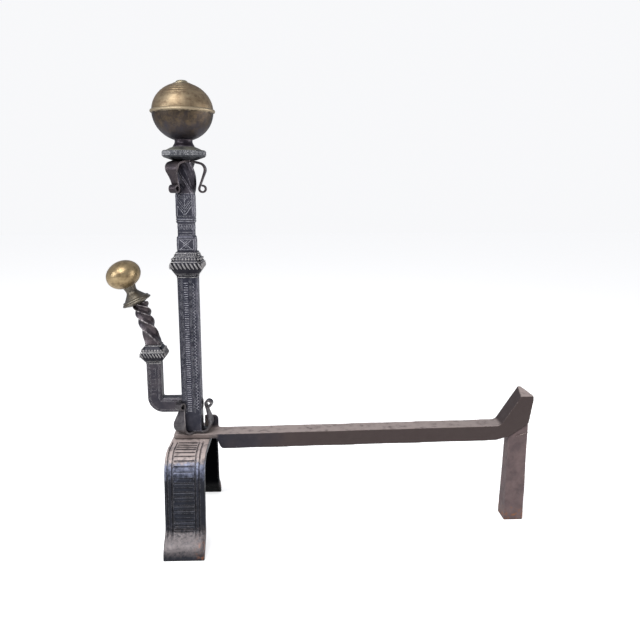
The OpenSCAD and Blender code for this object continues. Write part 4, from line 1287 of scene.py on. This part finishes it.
# %% Twist the cord
CORD_LENGTH, CORD_LEAN = 62.4, math.radians(16)
TURN_AT_FOOT, TURN_GROWTH = 1.91, 0.0534
CORD_RADIUS, CORD_WAIST, VICE = 11.7, 8.2, 10.0


def cord_reach(angle):
    """Distance from the axis to the cord's surface."""
    share = abs((angle + 45) % 90 - 45) / 45
    return min(CORD_RADIUS, CORD_WAIST + 4.0 * share ** 1.7)


def square_reach(angle):
    """Distance from the axis to the surface of the square bar."""
    local = math.radians((angle + 45) % 90 - 45)
    corner = (ARM_SIDE / 2 - 1.2) * math.sqrt(2) / math.cos(math.radians(45) - abs(local))
    return min(ARM_SIDE / 2 / math.cos(local), corner)


def cord_turn(z):
    """The turn at a height. It is slow over the vice and tighter towards the tip."""
    return -(TURN_AT_FOOT * max(0.0, z) + TURN_GROWTH * max(0.0, z) ** 2)


rings = []
CORD_STEPS, CORD_SIDES = 140, 80
for i in range(CORD_STEPS + 1):
    z = blend(-4.0, CORD_LENGTH, i / CORD_STEPS)
    share = smooth_step(1.0, VICE, z)
    ring = []
    for k in range(CORD_SIDES):
        angle = 360.0 * k / CORD_SIDES
        reach = blend(square_reach(angle), cord_reach(angle), share)
        reach += 0.12 * noise.noise((math.cos(math.radians(angle)), math.sin(math.radians(angle)), z * 0.12))
        x, y = turned(reach, 0.0, math.radians(angle + cord_turn(z)))
        out, up = turned(x, z, CORD_LEAN)
        ring.append(at(ARM_X + out, y, TWIST_FOOT_Z + up))
    rings.append(ring)
cord = lofted("arm_cord", rings)
finish_piece(cord, "arm_iron", "side_arm", angle=60, look="cord")

# %% [markdown]
# ## Scroll leaves
# Three leaves spring from a hub under the column's foot, and three more hang under the disc. Each is a
# strap that bulges outwards, narrows, and ends in a rolled eye. Its section is slightly crowned, with
# blunt edges that the shader can wear. One leaf is lofted for each set, and its copies are turned round
# the column.

# %% Forge the leaves
HUB_RADIUS, HUB_BORE, EYE_RADIUS, TIP_THICK, TIP_WIDTH, BLUNT = 14.0, 9.0, 4.5, 2.6, 11.5, 0.45
ROLL_TURN, ROLL_POINTS, THIN_POINTS, BEND_STEP, ROLL_STEP = 300, 25, 8, 5, 12


def leaf(name, line, width, narrow, azimuth):
    """A strap leaf. Its width falls between the two heights in narrow."""
    rings = []
    for n, p in enumerate(line):
        share = smooth_step(narrow[0], narrow[1], p[1]) if n < len(line) - ROLL_POINTS else 1.0
        w, t = blend(width, TIP_WIDTH, share) / 2, p[3] / 2
        crown = 0.35 * (1 - share)
        section = [(-w, -t + BLUNT), (-w, t - BLUNT), (-w + BLUNT, t), (-w / 2, t - crown * 0.4), (0, t + 0.1),
                   (w / 2, t - crown * 0.4), (w - BLUNT, t), (w, t - BLUNT), (w, -t + BLUNT), (w - BLUNT, -t),
                   (0, -t + crown * 0.5), (-w + BLUNT, -t)]
        ring = []
        for u, v in section:
            along, up = beside(p, v)
            ring.append(at(*turned(along, u, math.radians(azimuth)), up))
        rings.append(ring)
    return lofted(name, rings)


def thin_out(line, run):
    """Runs straight on while the strap thins towards its tip."""
    for _ in range(THIN_POINTS):
        line.append(ahead(line[-1], run / THIN_POINTS, blend(line[-1][3], TIP_THICK, 0.4)))


def rosette(name, look, node, line, width, narrow, hub_z, thick, azimuths):
    """A hub with its leaves, joined to one piece."""
    hub_line = [(HUB_BORE, 0.0), (HUB_RADIUS - 0.5, 0.0), (HUB_RADIUS, 0.5), (HUB_RADIUS, thick - 0.5),
                (HUB_RADIUS - 0.5, thick), (HUB_BORE, thick)]
    hub = spun(name, [(r, hub_z + z) for r, z in hub_line], 56)
    leaves = [leaf(name + "_leaf", line, width, narrow, azimuth) for azimuth in azimuths]
    finish_piece(joined([hub] + leaves, name), "scroll_iron", node, angle=40, look=look)


LOWER_THICK, UPPER_THICK = FOOT_Z - BAR_TOP, DISC_Z - UPPER_Z
start = (4.0, BAR_TOP + LOWER_THICK / 2, 0.0, LOWER_THICK - 0.6)
line = [start, ahead(start, 10.2, LOWER_THICK - 0.6)]
line += bend(line[-1], 13.1, 106, (LOWER_THICK + TIP_THICK) / 2, BEND_STEP)
thin_out(line, 24.5)
line += bend(line[-1], EYE_RADIUS, -ROLL_TURN, TIP_THICK, ROLL_STEP)
rosette("lower_leaves", "bright_leaf", "lower_scrolls", line, 23.0, (BAR_TOP + 14, BAR_TOP + 38), BAR_TOP,
        LOWER_THICK, (-7, 115, -129))

start = (4.0, UPPER_Z + UPPER_THICK / 2, 0.0, UPPER_THICK - 0.6)
line = [start, ahead(start, 6.5, UPPER_THICK - 0.6)]
line += bend(line[-1], 12.0, -14, UPPER_THICK - 0.3, BEND_STEP)
line.append(ahead(line[-1], 8.5, UPPER_THICK - 0.3))
line += bend(line[-1], 9.0, -96.5, (UPPER_THICK + TIP_THICK) / 2, BEND_STEP)
thin_out(line, 23.0)
line += bend(line[-1], EYE_RADIUS, ROLL_TURN, TIP_THICK, ROLL_STEP)
rosette("upper_leaves", None, "upper_scrolls", line, 22.0, (UPPER_Z - 4, UPPER_Z - 26), UPPER_Z, UPPER_THICK,
        (2, 124, -120))

# %% [markdown]
# ## The arch
# The arch is one wide strap, 9 mm thick, bent at two shoulders and flared into thick toes. Its outer face
# was chased before the bending: two lines along each edge and a ladder of cross cuts between them. All of
# these are real grooves of the loft. Every cut brings four rings of its own: the chisel's upper wall is
# steep and stays dark, and the lower one slopes and catches the light. Depth and spacing wander a little.

# %% Bend the arch
ARCH_WIDTH, ARCH_OFFSET, ARCH_TURN, ARCH_THICK = 56.0, -2.0, math.radians(0.8), 9.0
CROWN_HALF, SHOULDER, LEG_LEAN, FLARE_RADIUS, FLARE_TURN = 53.0, 29.5, 5.0, 20.0, 40.0
TOE_RUN, TOE_THICK, FLARE_THICK, LEG_RUN = 32.0, 16.0, 10.8, 71.66
GROOVE_DEPTH, CUT_DEPTH, DEPTH_WANDER = 1.4, 1.3, 0.4
LADDER_START, CUT_PITCH, CUT_WANDER, RING_STEP = 29.5, 6.9, 1.6, 6.0
RIGHT_GROOVES, LEFT_GROOVES, LADDER = (20.4, 15.0), (-17.0, -23.6), (13.2, -15.2)
TOE_ROLL, TOE_DROP, TOE_LIFT = 24.0, 12.0, 0.06
crown_start = (0.0, ARCH_TOP - ARCH_THICK / 2, 0.0, ARCH_THICK)
SHOULDER_RUN = SHOULDER * math.radians(90 - LEG_LEAN)
FLARE_RUN = FLARE_RADIUS * math.radians(FLARE_TURN)
LEG_START = CROWN_HALF + SHOULDER_RUN
FLARE_START = LEG_START + LEG_RUN
TOE_START = FLARE_START + FLARE_RUN
ARCH_END = TOE_START + TOE_RUN


def arch_point(s):
    """The point at a distance from the crown along half of the arch's line."""
    p = ahead(crown_start, min(s, CROWN_HALF), ARCH_THICK)
    if s > CROWN_HALF:
        part = min(1.0, (s - CROWN_HALF) / SHOULDER_RUN)
        p = bend(p, SHOULDER, -(90 - LEG_LEAN) * part, ARCH_THICK, 200)[-1]
    if s > LEG_START:
        p = ahead(p, min(LEG_RUN, s - LEG_START), ARCH_THICK)
    if s > FLARE_START:
        part = min(1.0, (s - FLARE_START) / FLARE_RUN)
        p = bend(p, FLARE_RADIUS, FLARE_TURN * part, blend(ARCH_THICK, FLARE_THICK, part), 200)[-1]
    if s > TOE_START:
        share = (s - TOE_START) / TOE_RUN
        p = ahead(p, s - TOE_START, blend(FLARE_THICK, TOE_THICK, share))
    return p


CHASE_END = TOE_START - 1.0
stations = {0.0: 0.0}
s = RING_STEP
while s < ARCH_END:
    stations[round(s, 2)] = 0.0
    s += RING_STEP / 2 if s > CROWN_HALF - RING_STEP / 2 else RING_STEP
s, count = LADDER_START, 0
while s < CHASE_END - 4:
    depth = CUT_DEPTH * (1 + DEPTH_WANDER * noise.noise((count * 1.7, 0.3, 9.1)))
    for near in [key for key in stations if -1.4 < key - s < 2.0]:
        del stations[near]
    for shift, share in ((-1.0, 0.0), (-0.7, 1.0), (0.0, 1.0), (1.5, 0.0)):
        stations[round(s + shift, 2)] = depth * share
    closer = smooth_step(LEG_START, FLARE_START, s)
    s += CUT_PITCH + CUT_WANDER * (noise.noise((count * 2.3, 4.4, 1.9)) - closer)
    count += 1
for i in range(9):
    stations[round(ARCH_END - TOE_ROLL * (1 - math.sin(math.pi / 2 * i / 8)), 2)] = 0.0


def groove_line(u, surface, depth):
    """The four points of a groove in the strap's outer face."""
    return [(u + 1.2, surface), (u + 0.5, surface - depth), (u - 0.5, surface - depth), (u - 1.2, surface)]


def arch_ring(s, cut, side):
    """The strap's section at a distance from the crown, with its grooves and a cut of the ladder."""
    p = arch_point(s)
    half_thick, half = p[3] / 2, ARCH_WIDTH / 2
    fade = (1 - smooth_step(CHASE_END - 3, CHASE_END, s)) * smooth_step(24, 27, s)
    groove = GROOVE_DEPTH * fade
    rolled = max(0.0, (s - ARCH_END + TOE_ROLL) / TOE_ROLL)
    end_drop = TOE_DROP * (1 - math.sqrt(max(0.0, 1 - rolled ** 2)))
    top = [(half, half_thick - 1.7), (half - 0.4, half_thick - 0.6), (half - 1.4, half_thick)]
    for u in RIGHT_GROOVES:
        top += groove_line(u, half_thick, groove)
    right, left = LADDER
    top += [(right, half_thick), (right - 0.6, half_thick - cut), ((right + left) / 2, half_thick - cut),
            (left + 0.6, half_thick - cut), (left, half_thick)]
    for u in LEFT_GROOVES:
        top += groove_line(u, half_thick, groove)
    top += [(-half + 1.4, half_thick), (-half + 0.4, half_thick - 0.6), (-half, half_thick - 1.7)]
    bottom = [(-half, -half_thick + 1.2), (-half + 1.0, -half_thick), (0.0, -half_thick),
              (half - 1.0, -half_thick), (half, -half_thick + 1.2)]
    ring = []
    for u, v in top + bottom:
        waves = 0.3 * noise.noise((u * 0.03, s * 0.045, side * 3.0)) if v > 0 else 0.0
        drop = end_drop if v > 0 else 0.0
        across, up = beside(p, v - drop + waves)
        broad = u * (1 + 0.012 * noise.noise((0.5, s * 0.03, side * 2.0)))
        y = side * across
        x = ARCH_OFFSET + broad * math.cos(ARCH_TURN) + y * math.sin(ARCH_TURN)
        up += TOE_LIFT * (1 - smooth_step(0.0, 6.0, up))
        ring.append(at(x, y * math.cos(ARCH_TURN) - broad * math.sin(ARCH_TURN), up))
    return ring


order = sorted(stations)
near_half = [arch_ring(s, stations[s], -1) for s in reversed(order[1:])]
far_half = [arch_ring(s, stations[s], 1) for s in order]
arch = lofted("arch_strap", near_half + far_half)
cut_below(arch, 0)
outwards(arch)
finish_piece(arch, "arch_iron", "arch_foot", angle=42)

# %% [markdown]
# ## The billet bar and its leg
# These carried the fire for centuries, and their faces are no longer flat. The solids already have the
# right outlines, so each piece starts as a merged copy of its solid. A voxel remesh gives it an even skin,
# smoothing rounds the edges as wear does, and layers of noise press in the hammer's dents. All of it only
# sinks the surface, so the pieces stay inside their solids.

# %% Wear down the bar and the leg
def worn_copy(node, name, voxel, rounds, dent):
    """A copy of a solid with a worn and dented skin."""
    source = frame["nodes"][node]
    obj = bpy.data.objects.new(name, source.data.copy())
    obj.data.transform(source.matrix_world)
    bpy.context.scene.collection.objects.link(obj)
    outwards(obj)
    shape_by(obj, "REMESH", mode="VOXEL", voxel_size=voxel * MM)
    shape_by(obj, "SMOOTH", factor=0.5, iterations=rounds)
    normals = [vert.normal.copy() for vert in obj.data.vertices]
    for vert, normal in zip(obj.data.vertices, normals):
        place = vert.co / MM
        sink = 0.5 + 0.5 * noise.noise(place * 0.045)
        sink += 0.35 * max(0.0, noise.noise(place * 0.16 + Vector((7, 1, 3))))
        sink += 0.16 * noise.noise(place * 0.55)
        if vert.co.z > 0.3 * MM:
            vert.co -= normal * (dent * sink * MM)
        else:
            vert.co.z = 0.0
    return obj


bar = worn_copy("billet_bar", "worn_bar", 1.3, 7, 0.55)
finish_piece(bar, "bar_iron", "billet_bar", angle=60)
leg = worn_copy("rear_leg", "worn_leg", 1.2, 7, 0.6)
finish_piece(leg, "leg_iron", "rear_leg", angle=60)

# %% [markdown]
# Where the leg was welded to the bar the two never closed fully, and the seam is rubbed bright. It is a
# short string of uneven drops.

# %% Lay the weld seam
SEAM_START, SEAM_END, SEAM_Z, SEAM_DROPS = 486.0, 503.0, 139.0, 16
places = []
for i in range(SEAM_DROPS):
    share = i / (SEAM_DROPS - 1)
    size = 1.5 + 0.7 * noise.noise((i * 1.9, 2.2, 0.4))
    places.append(mark(0, 15.4 - 0.8 * share, 0, blend(SEAM_Z - 4.0, SEAM_Z + 1.5, share), size * 1.7, size,
                       size * 0.9, 12, x=blend(SEAM_START, SEAM_END, share)))
seam = many("weld_seam", bead_mark, places)
finish_piece(seam, "leg_iron", angle=60)

# %% [markdown]
# The washer under the crown is a plain forged ring, which only shows from below. The three marks that
# served as templates aren't part of the andiron, so they go now.

# %% Turn the washer
washer_line = [(7.2, 0.0), (14.2, 0.0), (15.0, 0.7), (14.8, 3.1), (14.0, 3.8), (7.2, 3.8)]
washer = spun("hammered_washer", [(r, washer_z + z) for r, z in washer_line], 48)
finish_piece(washer, "leg_iron", "foot_washer", angle=40)
for template in (ridge, bead_mark, tooth):
    remove(template)

# %% [markdown]
# The andiron is whole.

# %% Close the lesson
print("The andiron stands finished in", len(bpy.data.meshes), "meshes")
